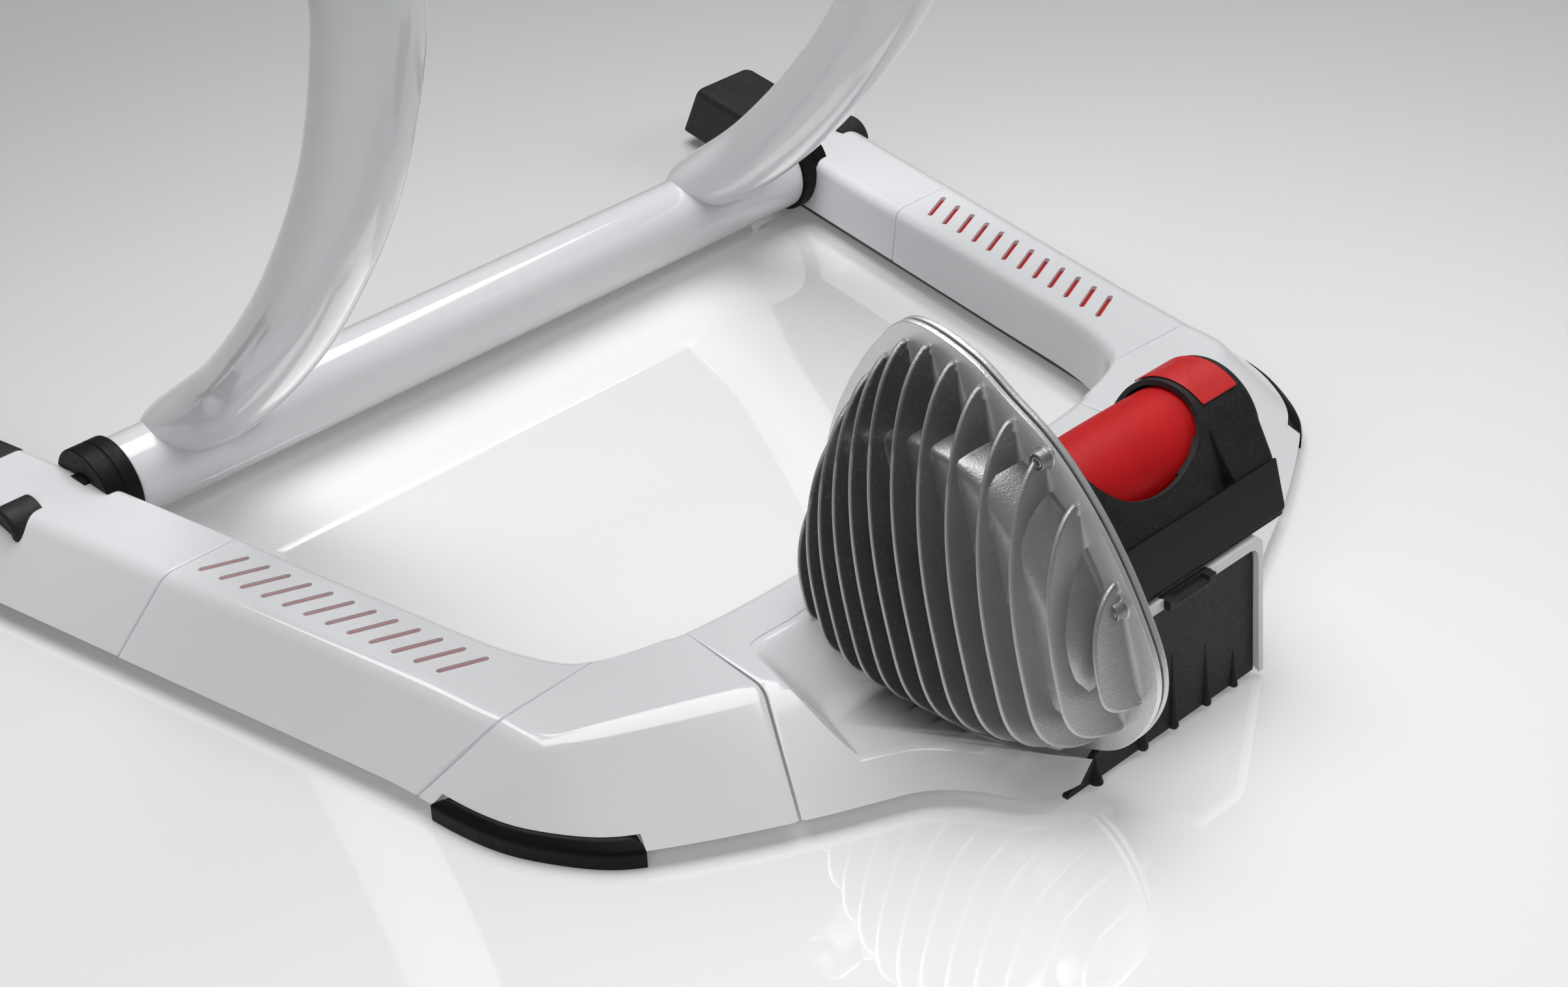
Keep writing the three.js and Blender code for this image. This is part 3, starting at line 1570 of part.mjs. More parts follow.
place('bearing_right', bearing(carrierWallX), colours.steel, unit);
place('roller_sleeve', rollerSleeve(), colours.elastomer, unit);
place('roller_core', rollerCore(), colours.casting, unit);
place('roller_shaft', rollerShaft(), colours.steel, unit);
place('impeller', impeller(), colours.plastic, unit);

// Assembly: swing arms and axle clamps
place('cross_tube', crossTube(), colours.gloss, arms);
placePair('swing_arm', arm(), colours.gloss, arms);
place('clamp_body_right', liftedToAxle(leverClampBody()), colours.gloss, arms);
place('clamp_body_left', liftedToAxle(mirrored(clampBody(screwRadius))), colours.gloss, arms);
place('lever_clevis', liftedToAxle(leverClevis()), colours.darkSteel, arms);
place('clamp_plunger', liftedToAxle(plunger()), colours.steel, arms);
place('plunger_spring', liftedToAxle(plungerSpring()), colours.steel, arms);
place('clamp_lever', liftedToAxle(clampLever()), colours.plastic, arms);
place('lever_pin', liftedToAxle(leverPin()), colours.steel, arms);
place('adjuster_cup', liftedToAxle(mirrored(adjusterCup())), colours.steel, arms);
place('adjuster_screw', liftedToAxle(mirrored(adjusterScrew())), colours.plastic, arms);

// The origin lies on the floor, in the middle of the space that the trainer takes
const span = new THREE.Box3().setFromObject(trainer, true);
trainer.position.y = -(span.min.y + span.max.y) / 2;

export default trainer;
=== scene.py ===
# %% [markdown]
# # A wheel-on turbo trainer
# A bicycle's rear axle hangs between two swing arms, and its tyre presses a red roller.
# The roller turns an impeller in the finned fluid brake beside it.
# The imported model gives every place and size. This lesson dresses it with finer shapes and finishes.

# %% Load the frame
import json
import math

import bmesh
import bpy
import numpy as np
from mathutils import Matrix, Vector

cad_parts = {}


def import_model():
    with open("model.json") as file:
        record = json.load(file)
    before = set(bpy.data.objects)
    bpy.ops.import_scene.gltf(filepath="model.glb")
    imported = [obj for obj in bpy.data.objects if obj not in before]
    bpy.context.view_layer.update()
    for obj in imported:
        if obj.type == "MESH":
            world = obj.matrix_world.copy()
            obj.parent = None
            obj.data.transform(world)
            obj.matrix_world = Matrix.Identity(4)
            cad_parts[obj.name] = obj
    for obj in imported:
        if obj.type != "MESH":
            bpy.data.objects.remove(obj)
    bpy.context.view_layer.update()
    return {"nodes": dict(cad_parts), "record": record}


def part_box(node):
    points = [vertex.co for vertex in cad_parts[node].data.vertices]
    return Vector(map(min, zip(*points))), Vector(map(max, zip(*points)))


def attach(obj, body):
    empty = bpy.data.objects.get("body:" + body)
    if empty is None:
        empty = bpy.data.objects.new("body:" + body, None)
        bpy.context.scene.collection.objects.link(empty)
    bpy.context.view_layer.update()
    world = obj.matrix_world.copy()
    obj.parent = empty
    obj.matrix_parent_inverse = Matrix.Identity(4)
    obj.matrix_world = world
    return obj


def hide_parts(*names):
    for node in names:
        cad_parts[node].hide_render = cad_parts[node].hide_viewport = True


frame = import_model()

MM = 0.001

# %% [markdown]
# ## Places taken from the frame
# Shapes are drawn in millimetres with Y = 0 at the rear axle, because most sizes of a trainer start there.
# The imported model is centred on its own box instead. The cross tube and the roller's shaft say how far it is
# shifted, so nothing here has to be typed twice.


# %% Places
def centre(node):
    """Middle of a node's box, in millimetres: half the sum of its two corners."""
    low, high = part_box(node)
    return np.array((low + high) / 2) * 1000


PIVOT = np.array([0, 191.0, 30.6])
SHIFT = np.array([0, centre("cross_tube")[1] - PIVOT[1], 0])
ROLLER = centre("roller_shaft") * [0, 1, 1]
LEAN = math.radians(16.4)
AXLE_Z = 373.0
FIT = 0.3
WALL = 2.5
TOP = 40.5
BOTTOM = 9.0
HOOD_RADIUS, HOOD_SIDE, HOOD_SHOULDER, HOOD_FOOT = 30, 34, -18, -46


def drawn(points):
    """Places a shape that is drawn about the rear axle: adds the shift."""
    return points + SHIFT


def leaning(points):
    """Places a shape of the roller unit: turns it forward by the lean about X, then moves it to the shaft."""
    x, y, z = np.asarray(points, float).T
    c, s = math.cos(LEAN), math.sin(LEAN)
    return np.stack([x, y * c + z * s, z * c - y * s], 1) + ROLLER


def at_axle(points):
    """Places a shape that is drawn about the axle's own line."""
    return points + SHIFT + [0, 0, AXLE_Z]


print(f"The packed model is shifted by {SHIFT.round(3).tolist()} mm")

# %% [markdown]
# ## Mesh tools
# A shape is a pair: an array of points and a list of faces. It could be pushed and pulled by hand in edit
# mode, but arrays keep every size readable and give the same mesh each run.
# Rings of points become skins, profiles become turned bodies, and shapes cut one another.


# %% Mesh tools
def curve(points, per, closed=False):
    """Smooth line through points: a cubic between each pair, with knots spaced by the root of the gap."""
    p = np.asarray(points, float)
    if closed:
        ends, spans = np.vstack([p[-1:], p, p[:2]]), len(p)
    else:
        ends, spans = np.vstack([2 * p[0] - p[1], p, 2 * p[-1] - p[-2]]), len(p) - 1
    u = np.linspace(0, 1, per, endpoint=False)[:, None]
    out = []
    for i in range(spans):
        a, b, c, d = ends[i:i + 4]
        r, s, t = (max(np.linalg.norm(n - m) ** 0.5, 1e-4) for m, n in ((a, b), (b, c), (c, d)))
        m1 = s * ((b - a) / r - (c - a) / (r + s) + (c - b) / s)
        m2 = s * ((c - b) / s - (d - b) / (s + t) + (d - c) / t)
        out.append((2 * u**3 - 3 * u**2 + 1) * b + (u**3 - 2 * u**2 + u) * m1
                   + (3 * u**2 - 2 * u**3) * c + (u**3 - u**2) * m2)
    out = np.vstack(out)
    return out if closed else np.vstack([out, p[-1:]])


def even(line, count):
    """Resamples a line at equal steps of its length."""
    run = np.r_[0, np.cumsum(np.linalg.norm(np.diff(line, axis=0), axis=1))]
    at = np.linspace(0, run[-1], count)
    return np.stack([np.interp(at, run, line[:, k]) for k in range(line.shape[1])], 1)


def rounded(points, radius, steps, closed=True):
    """Rounds the corners of a line: each becomes a quadratic arc that starts a radius before the corner."""
    p = np.asarray(points, float)
    radius = np.broadcast_to(radius, len(p))
    out = []
    for i, corner in enumerate(p):
        if radius[i] <= 0 or (not closed and i in (0, len(p) - 1)):
            out.append(corner[None])
            continue
        before, after = p[i - 1] - corner, p[(i + 1) % len(p)] - corner
        size = [np.linalg.norm(v) for v in (before, after)]
        reach = min(radius[i], 0.48 * min(size))
        a, b = corner + before / size[0] * reach, corner + after / size[1] * reach
        t = np.linspace(0, 1, steps + 1)[:, None]
        out.append((1 - t) ** 2 * a + 2 * t * (1 - t) * corner + t**2 * b)
    return np.vstack(out)


def circle(count):
    """Evenly spaced points of a unit circle: the cosine and the sine of each angle."""
    a = np.linspace(0, 2 * math.pi, count, endpoint=False)
    return np.c_[np.cos(a), np.sin(a)]


def grid(rings, ring_closed=True, path_closed=False):
    """Four-sided faces between rings: each joins two neighbours on one ring to the same two on the next."""
    rings = np.asarray(rings, float)
    rows, size = rings.shape[:2]
    r = np.arange(rows if path_closed else rows - 1)[:, None]
    i = np.arange(size if ring_closed else size - 1)[None]
    r2, i2 = (r + 1) % rows, (i + 1) % size
    faces = np.stack([r * size + i, r * size + i2, r2 * size + i2, r2 * size + i], -1)
    return rings.reshape(-1, 3), faces.reshape(-1, 4).tolist()


def loft(rings):
    """A closed body over rings, with one flat face at each end."""
    points, faces = grid(rings)
    size, total = len(rings[0]), len(points)
    return points, faces + [list(range(size))[::-1], list(range(total - size, total))]


def hollow(outer, inner):
    """A shell between two lofts of open sections: each ring runs out along one and back along the other."""
    rings = np.concatenate([outer, inner[:, ::-1]], 1)
    points, faces = grid(rings)
    size = rings.shape[1]
    last = len(points) - size
    for k in range(size // 2 - 1):
        a, b, c, d = k, k + 1, size - 2 - k, size - 1 - k
        faces += [[d, c, b, a], [last + a, last + b, last + c, last + d]]
    return points, faces


def turned(profile, radius, sides=96, steps=3):
    """A turned body about X from pairs of radius and x: each point sweeps a circle of its radius."""
    p = np.asarray(profile, float)
    closed = bool(p[0, 0] > 0)
    line = rounded(p, radius, steps, closed)
    rings = np.stack([np.broadcast_to(line[:, 1:], (len(line), sides)),
                      *(line[:, :1] * part for part in circle(sides).T)], -1)
    return grid(rings, path_closed=closed)


def moved(shape, by):
    """A shape shifted by a vector."""
    return shape[0] + by, shape[1]


def rod(radius, x0, x1, y, z, sides=64):
    """A plain cylinder along X, used as a cutting tool."""
    return moved(turned([[0, x0], [radius, x0], [radius, x1], [0, x1]], 0, sides), [0, y, z])


def set_at(line, place, axis=0):
    """A flat line set in space: one axis gets the place, and the two columns fill the others in order."""
    return np.insert(np.asarray(line, float), axis, place, 1)


def prism(line, start, end, axis=0):
    """A body over a closed flat line, straight along one axis from start to end."""
    return loft([set_at(line, place, axis) for place in (start, end)])


def block(low, high):
    """A box between two corners, used as a cutting tool."""
    (x0, y0, z0), (x1, y1, z1) = low, high
    return prism([[y0, z0], [y1, z0], [y1, z1], [y0, z1]], x0, x1)


def merge(*shapes):
    """Several shapes as one: later faces count on from the points before them."""
    points, faces, start = [], [], 0
    for p, f in shapes:
        points.append(p)
        faces += [[k + start for k in face] for face in f]
        start += len(p)
    return np.vstack(points), faces


def mirror(shape):
    """The left-hand twin of a shape: X changes sign, and the faces turn round to look outward again."""
    points, faces = shape
    return points * [-1, 1, 1], [face[::-1] for face in faces]


def added(name, data):
    """A new object of the scene that carries the data."""
    obj = bpy.data.objects.new(name, data)
    bpy.context.scene.collection.objects.link(obj)
    return obj


def shape_of(bm):
    """The points and faces of a bmesh, which is freed."""
    bm.verts.index_update()
    points = np.array([v.co[:] for v in bm.verts])
    faces = [[v.index for v in face.verts] for face in bm.faces]
    bm.free()
    return points, faces


def mesh_of(name, shape):
    """A mesh with doubled points joined and every face turned outward."""
    mesh = bpy.data.meshes.new(name)
    mesh.from_pydata(np.asarray(shape[0], float).tolist(), [], shape[1])
    bm = bmesh.new()
    bm.from_mesh(mesh)
    bmesh.ops.remove_doubles(bm, verts=bm.verts, dist=1e-6)
    bmesh.ops.recalc_face_normals(bm, faces=bm.faces)
    if bm.calc_volume(signed=True) < 0:
        bmesh.ops.reverse_faces(bm, faces=bm.faces)
    bm.to_mesh(mesh)
    bm.free()
    return mesh


def boolean(shape, tools, operation="DIFFERENCE"):
    """Cuts, joins or keeps the common part of a shape and each tool."""
    return chain(shape, [(operation, tool) for tool in tools])


def chain(shape, steps):
    """Works through steps of an operation and a tool in one stack, so that nothing is rounded in between."""
    main = added("work", mesh_of("work", shape))
    spare = [added("tool", mesh_of("tool", tool)) for _, tool in steps]
    for (operation, _), other in zip(steps, spare):
        cutter = main.modifiers.new("cut", "BOOLEAN")
        cutter.object, cutter.operation, cutter.solver = other, operation, "MANIFOLD"
    bpy.context.view_layer.update()
    made = main.evaluated_get(bpy.context.evaluated_depsgraph_get()).to_mesh()
    points = np.empty(len(made.vertices) * 3)
    made.vertices.foreach_get("co", points)
    faces = [list(face.vertices) for face in made.polygons]
    for item in (main, *spare):
        data = item.data
        bpy.data.objects.remove(item)
        bpy.data.meshes.remove(data)
    return points.reshape(-1, 3), faces


def cut(shape, *tools):
    """The shape without what the tools cover."""
    return boolean(shape, tools)


def largest(shape):
    """The biggest connected part of a shape, without the crumbs of a cut."""
    bm = bmesh.new()
    bm.from_mesh(mesh_of("parts", shape))
    left, best = set(bm.verts), set()
    while left:
        stack, seen = [left.pop()], set()
        while stack:
            vert = stack.pop()
            seen.add(vert)
            for edge in vert.link_edges:
                other = edge.other_vert(vert)
                if other in left:
                    left.remove(other)
                    stack.append(other)
        best = max(best, seen, key=len)
    bmesh.ops.delete(bm, geom=[v for v in bm.verts if v not in best], context="VERTS")
    return shape_of(bm)


print(f"A tube of 100 by 10 mm has {len(rod(10, 0, 100, 0, 0)[0])} points")

# %% [markdown]
# ## Finishes
# The real trainer is gloss white plastic and paint, sand-cast aluminium, grained black plastic and red
# elastomer. Image textures could show these, but a small node tree on Object coordinates keeps its grain in
# real millimetres, needs no unwrapping, and rides with its piece. Noise moves the colour and the roughness a
# little, and a fine bump gives the grain of paint, casting or plastic.


# %% Finishes
def feed(node, inputs):
    """Gives a node its inputs: another node's output is linked, and anything else is set as a value."""
    for key, value in inputs.items():
        if isinstance(value, bpy.types.NodeSocket):
            node.id_data.links.new(value, node.inputs[key])
        else:
            node.inputs[key].default_value = value


def adder(tree):
    """A function that adds a node to a tree, with its inputs and settings, and returns one of its outputs."""
    def add(kind, inputs=(), output=0, **settings):
        node = tree.nodes.new(f"ShaderNode{kind}")
        for key, value in settings.items():
            setattr(node, key, value)
        feed(node, dict(inputs))
        return node.outputs[output]
    return add


def ranged(add, value, low, high, start=0.3, end=0.7, **settings):
    """A value mapped in a straight line, so that start becomes low and end becomes high."""
    inputs = {"Value": value, "From Min": start, "From Max": end, "To Min": low, "To Max": high}
    return add("MapRange", inputs, "Result", **settings)


def mixed(add, share, *colours):
    """Two colours mixed by a share: each is three numbers or another node's output."""
    first, second = ((*c, 1) if isinstance(c, tuple) else c for c in colours)
    return add("Mix", {"Factor": share, 6: first, 7: second}, 2, data_type="RGBA")


def finish(name, colour, rough, metal=0.0, coat=0.0, tint=0.04, spread=0.06, grain=900.0, bump=0.15,
           depth=0.0002, blotch=25.0, rim=None, turning=None, speck=0.0, shine=0.5):
    """A procedural finish.

    Colour is the base times one plus or minus the tint, by a soft noise of blotch cells per metre.
    Roughness moves by the spread with a finer noise, and the bump is a noise of grain cells per metre.
    Where the mesh has a rim attribute, the colour and roughness go towards the rim's own: wear, and on the
    brake casting painted light and shade as well.
    """
    mat = bpy.data.materials.new(name)
    mat.use_nodes = True
    add = adder(mat.node_tree)
    where = add("TexCoord", output="Object")

    def noise(scale, detail):
        return add("TexNoise", {"Vector": where, "Scale": scale, "Detail": detail}, "Fac")

    dark = tuple(c * (1 - tint) for c in colour)
    light = tuple(min(c * (1 + tint), 1) for c in colour)
    shade = mixed(add, ranged(add, noise(blotch, 3), 0, 1), dark, light)
    if speck:
        spots = ranged(add, noise(grain / 2, 1), 0, 1, 0.62, 0.7)
        shade = mixed(add, spots, shade, tuple(c + speck for c in colour))
    roughness = ranged(add, noise(blotch * 6, 4), rough - spread, rough + spread)
    if rim:
        # wear, and on the brake casting painted light and shade: the rim attribute leads towards the rim
        # colour
        wear_and_painted_light = ranged(add, add("Attribute", output="Fac", attribute_name="rim"), 0, 1, 0, 1)
        shade = mixed(add, wear_and_painted_light, shade, rim[0])
        roughness = add("Mix", {"Factor": wear_and_painted_light, "A": roughness, "B": rim[1]}, "Result")
    height = noise(grain, 2)
    if turning:
        inputs = {"Vector": where, "Scale": turning, "Distortion": 0.6}
        wave = add("TexWave", inputs, "Fac", bands_direction="X")
        height = add("Math", {0: height, 1: wave}, operation="ADD")
    feed(mat.node_tree.nodes["Principled BSDF"], {
        "Base Color": shade, "Roughness": roughness, "Metallic": metal, "Specular IOR Level": shine,
        "Coat Weight": coat, "Coat Roughness": 0.04,
        "Normal": add("Bump", {"Strength": bump, "Distance": depth, "Height": height}, "Normal")})
    return mat


WHITE = (0.80, 0.81, 0.83)
LOOKS = {
    "cover_white": dict(colour=WHITE, rough=0.13, coat=0.4, tint=0.012, spread=0.03, grain=260, bump=0.03,
                        depth=0.0003, blotch=9),
    "paint_white": dict(colour=WHITE, rough=0.12, coat=0.6, tint=0.012, spread=0.03, grain=420, bump=0.05,
                        depth=0.0003, blotch=7),
    # The casting's rim colour is bright bare metal: wear on the rims, and a painted highlight and painted
    # light where the rim attribute carries them.
    "casting": dict(colour=(0.17, 0.172, 0.175), rough=0.44, metal=0.7, tint=0.12, grain=1000, bump=0.7,
                    depth=0.00025, blotch=45, rim=((0.93, 0.935, 0.94), 0.38), speck=0.09),
    "steel": dict(colour=(0.56, 0.57, 0.58), rough=0.3, metal=1, tint=0.05, spread=0.08, grain=600, bump=0.1,
                  turning=260),
    "dark_steel": dict(colour=(0.035, 0.035, 0.038), rough=0.36, tint=0.1, grain=500),
    "black_plastic": dict(colour=(0.018, 0.018, 0.019), rough=0.56, tint=0.14, spread=0.05, grain=1700,
                          bump=0.5, depth=0.00025, blotch=60, speck=0.02, shine=0.35),
    "label_black": dict(colour=(0.008, 0.008, 0.009), rough=0.22, tint=0.12, spread=0.05, grain=350,
                        bump=0.05, coat=0.1, blotch=40, shine=0.35),
    "rubber": dict(colour=(0.007, 0.007, 0.008), rough=0.5, tint=0.2, spread=0.08, grain=800, bump=0.12,
                   blotch=50, shine=0.18),
    "roller_red": dict(colour=(0.5, 0.006, 0.008), rough=0.5, tint=0.07, bump=0.12, turning=420, blotch=30,
                       shine=0.3),
    "insert_red": dict(colour=(0.55, 0.02, 0.02), rough=0.42, tint=0.08, bump=0.2, blotch=60),
}
FINISH = {name: finish(name, **look) for name, look in LOOKS.items()}
print(f"{len(FINISH)} finishes: {', '.join(FINISH)}")
MADE = []


def tell():
    """Prints each piece made since the last call, with its number of faces."""
    while MADE:
        name, count = MADE.pop(0)
        print(f"{name}: {count} faces")


def body_of(node):
    """The body that carries a node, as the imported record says."""
    bodies = frame["record"]["behaviour"]["bodies"]
    return next(body for body, nodes in bodies.items() if node in nodes)


def piece(node, shape, slot, place=drawn, bevel=0.4, angle=38, rim=None, weigh=True, name=None):
    """Adds a dressed piece for a node: places its points, softens its edges, gives it a finish and a body."""
    name, body = f"{name or node}_look", body_of(node)
    mesh = mesh_of(name, (place(np.asarray(shape[0], float)), shape[1]))
    mesh.transform(Matrix.Scale(MM, 4))
    mesh.polygons.foreach_set("use_smooth", [True] * len(mesh.polygons))
    if not weigh:
        mesh.set_sharp_from_angle(angle=math.radians(50))
    mesh.materials.append(FINISH[slot])
    obj = added(name, mesh)
    # The rim attribute carries wear, and on the brake casting painted light and shade as well.
    if rim is not None:
        co = np.empty(len(mesh.vertices) * 3)
        mesh.vertices.foreach_get("co", co)
        values = rim(co.reshape(-1, 3) * 1000)
        mesh.attributes.new("rim", "FLOAT", "POINT").data.foreach_set("value", values)
    if bevel:
        soft = obj.modifiers.new("edges", "BEVEL")
        soft.width, soft.segments, soft.limit_method = bevel * MM, 2, "ANGLE"
        soft.angle_limit, soft.use_clamp_overlap = math.radians(angle), True
        soft.harden_normals = False
    if weigh:
        obj.modifiers.new("normals", "WEIGHTED_NORMAL").keep_sharp = False
    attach(obj, body)
    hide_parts(node)
    MADE.append((name, len(mesh.polygons)))


def pair(node, shape, slot, name=None, **options):
    """A right-hand piece and its mirrored twin."""
    for side, twin in (("right", shape), ("left", mirror(shape))):
        piece(f"{node}_{side}", twin, slot, name=f"{name or node}_{side}", **options)


# %% [markdown]
# ## White covers of the base
# On the real base, moulded white covers hide a welded steel frame, and neighbours meet at fine seams.
# A cover could be a subdivided box, but its edges would drift at the corner. So a section travels along a
# plan: one station of the plan has six numbers, the inner top edge, the outer top edge and the outer bottom
# edge, each as x and y. One smooth path runs down a rail, round the corner and across the back, and each
# cover is a part of it, so all seams match by themselves.

# %% Covers: plan
SPLAY = math.tan(math.radians(10.1))
RAIL_X, RAIL_TOP, RAIL_WIDTH = 216.5, 44.5, 77.0
RAIL_SEAM, RAIL_FRONT, FOOT_FRONT, FOOT_RAKE = 88, 240, 298, 13
HALF, REAR = 240.0, 311.0
SIGNS = np.array([HALF, -REAR] * 3)
CORNER = SIGNS * [
    [0.792, 0.347, 1.013, 0.347, 1.16, 0.28], [0.746, 0.373, 1.004, 0.379, 1.154, 0.318],
    [0.717, 0.383, 1.002, 0.418, 1.147, 0.392], [0.683, 0.391, 0.996, 0.453, 1.125, 0.482],
    [0.654, 0.397, 0.975, 0.473, 1.083, 0.55], [0.625, 0.402, 0.942, 0.484, 1.029, 0.614],
    [0.608, 0.405, 0.892, 0.5, 0.967, 0.656], [0.583, 0.41, 0.581, 0.608, 0.708, 0.77],
]
BRIDGE = [[0.479, 0.418, 0.467, 0.648, 0.567, 0.819], [0.417, 0.42, 0.392, 0.682, 0.496, 0.846]]
BRIDGE_RIGHT = SIGNS * [
    *BRIDGE,
    [0.354, 0.421, 0.33, 0.7, 0.42, 0.852], [0.27, 0.421, 0.26, 0.71, 0.33, 0.853],
    [0.17, 0.421, 0.17, 0.715, 0.22, 0.854],
]
BRIDGE_LEFT = SIGNS * [
    *BRIDGE,
    [0.354, 0.421, 0.333, 0.746, 0.438, 0.897], [0.292, 0.421, 0.22, 0.86, 0.396, 0.958],
    [0.2, 0.421, 0.09, 0.955, 0.335, 0.992], [0.1, 0.421, 0.02, 0.965, 0.2, 1],
]
PER = 8
GAP = 0.5


def rail_inner(y):
    """Inner top edge of the right rail: its X at the axle plus the splay times y."""
    return RAIL_X + SPLAY * y


def rail_station(y):
    """A station of the straight rail: the edges of its top and the foot of its flared outer side."""
    x = rail_inner(y)
    return [x, y, x + RAIL_TOP, y, x + RAIL_WIDTH, y]


def eased(path, passes=14):
    """The path with its small waves out: a pass moves each station halfway to its neighbours' middle."""
    for _ in range(passes):
        path[1:-1] = 0.5 * path[1:-1] + 0.25 * (path[:-2] + path[2:])
    return path


RAILS = np.array([rail_station(y) for y in (RAIL_SEAM, 30, -30, -78)])
PATH, LEFT_PATH = (eased(curve(np.vstack([RAILS, CORNER, bridge]), PER))
                   for bridge in (BRIDGE_RIGHT, BRIDGE_LEFT))
SEAM_A, SEAM_B = 5 * PER, 11 * PER


def stretch(first, last, gap_first=0.0, gap_last=0.0):
    """Part of the path between two samples, drawn back by a gap at either end."""
    part = PATH[first:last + 1].copy()
    for end, step, gap in ((0, 1, gap_first), (-1, -1, gap_last)):
        if gap:
            move = part[end + step] - part[end]
            part[end] += move * gap / np.linalg.norm(move[:2])
    return part


def section(stations, top=TOP, bottom=BOTTOM, inset=0.0, radius=6.5, steps=7):
    """Open sections across stations: up the inner side, over two rounded corners and down the flared side.

    Sideways the inset moves along the top, and on the flare it moves back by the root of two times itself.
    """
    s = np.asarray(stations, float).reshape(-1, 3, 2)
    inner, outer, foot = s[:, 0], s[:, 1], s[:, 2]
    across = (outer - inner) / np.linalg.norm(outer - inner, axis=1)[:, None]
    outward = (foot - outer) / np.linalg.norm(foot - outer, axis=1)[:, None]
    share = (TOP - bottom) / (TOP - BOTTOM)
    corners = [(inner + across * (inset - 4 * share), bottom), (inner + across * inset, top),
               (outer - outward * inset, top),
               (outer + (foot - outer) * share - outward * inset * math.sqrt(2), bottom)]
    corners = np.stack([np.c_[plan, np.full(len(plan), z)] for plan, z in corners], 1)
    rings = np.stack([rounded(ring, [0, radius, radius, 0], steps, False) for ring in corners])
    flank = rings[:, -2:-1] + (rings[:, -1:] - rings[:, -2:-1]) * np.linspace(0, 1, 7)[:, None]
    return np.concatenate([rings[:, :-2], flank], 1)


def cover_shell(stations, ease=0.6):
    """A moulded cover: an outer skin and an inner one, a wall thickness apart.

    The outer skin draws in at both ends, so that a seam shows as a small rounded groove.
    """
    full = np.asarray(stations, float)
    starts = full[1] - full[0], full[-2] - full[-1]
    near = [full[end] + move * ease / np.linalg.norm(move[:2]) for end, move in zip((0, -1), starts)]
    full = np.vstack([full[:1], near[:1], full[1:-1], near[1:], full[-1:]])
    outer = section(full)
    drawn_in = section(full, TOP - ease, BOTTOM, ease)
    outer[0], outer[-1] = drawn_in[0], drawn_in[-1]
    return hollow(outer, section(full, TOP - WALL, BOTTOM, WALL, 4.0))


def cover_solid(stations, grow):
    """The full body under a cover's skin, grown on all sides, or shrunk where the value is below zero."""
    return loft(section(stations, TOP + grow, BOTTOM - grow, -grow))


print(f"{len(PATH)} stations on the right path, with seams at {SEAM_A} and {SEAM_B}")

# %% [markdown]
# The real rails show red plastic through shaped openings. Here these are twelve plain slots with round ends,
# cut right through the wall with a boolean, so that the depth and the shadow inside are real.
# The front covers close the rails up to the front feet, with bores for the pivot and its cap.
# The rubber strip low on each corner takes its stations from the cover, so it follows the same curve.


# %% Covers: rails
SLOTS, SLOT_PITCH, SLOT_REACH, SLOT_RADIUS, SLOT_TURN = 12, 13.5, 10.9, 1.6, math.radians(22)


def rail_slots():
    """Cutters for the slots: each is two half circles, a reach to either side of its middle, and turned."""
    a = np.linspace(-math.pi / 2, math.pi / 2, 9)
    end = np.c_[SLOT_REACH + SLOT_RADIUS * np.cos(a), SLOT_RADIUS * np.sin(a)]
    c, s = math.cos(SLOT_TURN), math.sin(SLOT_TURN)
    line = np.vstack([end, -end]) @ np.array([[c, s], [-s, c]])
    places = [(i - (SLOTS - 1) / 2) * SLOT_PITCH for i in range(SLOTS)]
    return merge(*[prism(line + [rail_inner(y) + RAIL_TOP / 2, y], 30, 50, 2) for y in places])


rail = cut(cover_shell(stretch(0, SEAM_A)), rail_slots())
pair("rail_cover", rail, "cover_white")

FRONT = [rail_station(y) for y in np.linspace(RAIL_SEAM + GAP, RAIL_FRONT, 9)]
CAP_X = rail_inner(212) + WALL + 2.4 + 23 + 2.4
front = cut(cover_shell(FRONT), rod(12.4, 200, 262, *PIVOT[1:]), rod(13.4, CAP_X - FIT, 400, *PIVOT[1:]))
pair("front_rail_cover", front, "cover_white")


def strip(grow=0.0, lip=True):
    """The rubber strip along a corner's lower edge: five-sided sections.

    With its lip it is rounded and falls away at both ends. Without one it is the tool that makes room for it.
    """
    part = stretch(SEAM_A, SEAM_A + 5 * PER, GAP)
    part = even(part, 61)[5:-4].reshape(-1, 3, 2)
    out = part[:, 2] - part[:, 1]
    reach = np.linalg.norm(out, axis=1)[:, None]
    out /= reach
    toe = part[:, 2] + out * (1 + grow)
    heel = toe - out * (22 + 2 * grow)
    run = np.linspace(0, 1, len(part))
    rise = np.clip(np.minimum(run, 1 - run) / 0.05, 0.02, 1) ** 0.5
    high = BOTTOM + (4 * rise if lip else 4 * np.ones(len(run)))
    top = toe - out * reach / (TOP - BOTTOM) * (high - BOTTOM)[:, None]
    z = np.zeros(len(part))
    rings = np.stack([np.c_[heel, z - grow], np.c_[toe, z - grow], np.c_[toe, z + BOTTOM],
                      np.c_[top, high + grow], np.c_[heel, high + grow]], 1)
    return np.stack([rounded(ring, [0, 1.2, 2.0, 1.2, 0], 3) for ring in rings]) if lip else rings


corner = cut(cover_shell(stretch(SEAM_A, SEAM_B, GAP)), loft(strip(FIT, False)))
pair("corner_cover", corner, "cover_white")
pair("corner_foot", loft(strip()), "rubber", "corner_strip", bevel=0.8)
tell()

# %% [markdown]
# The front feet are black moulded blocks with a raked nose, on thin rubber pads. A scaled cube would miss the
# rake, so the rail's own section runs on forwards, and its last rings lean out towards the floor.


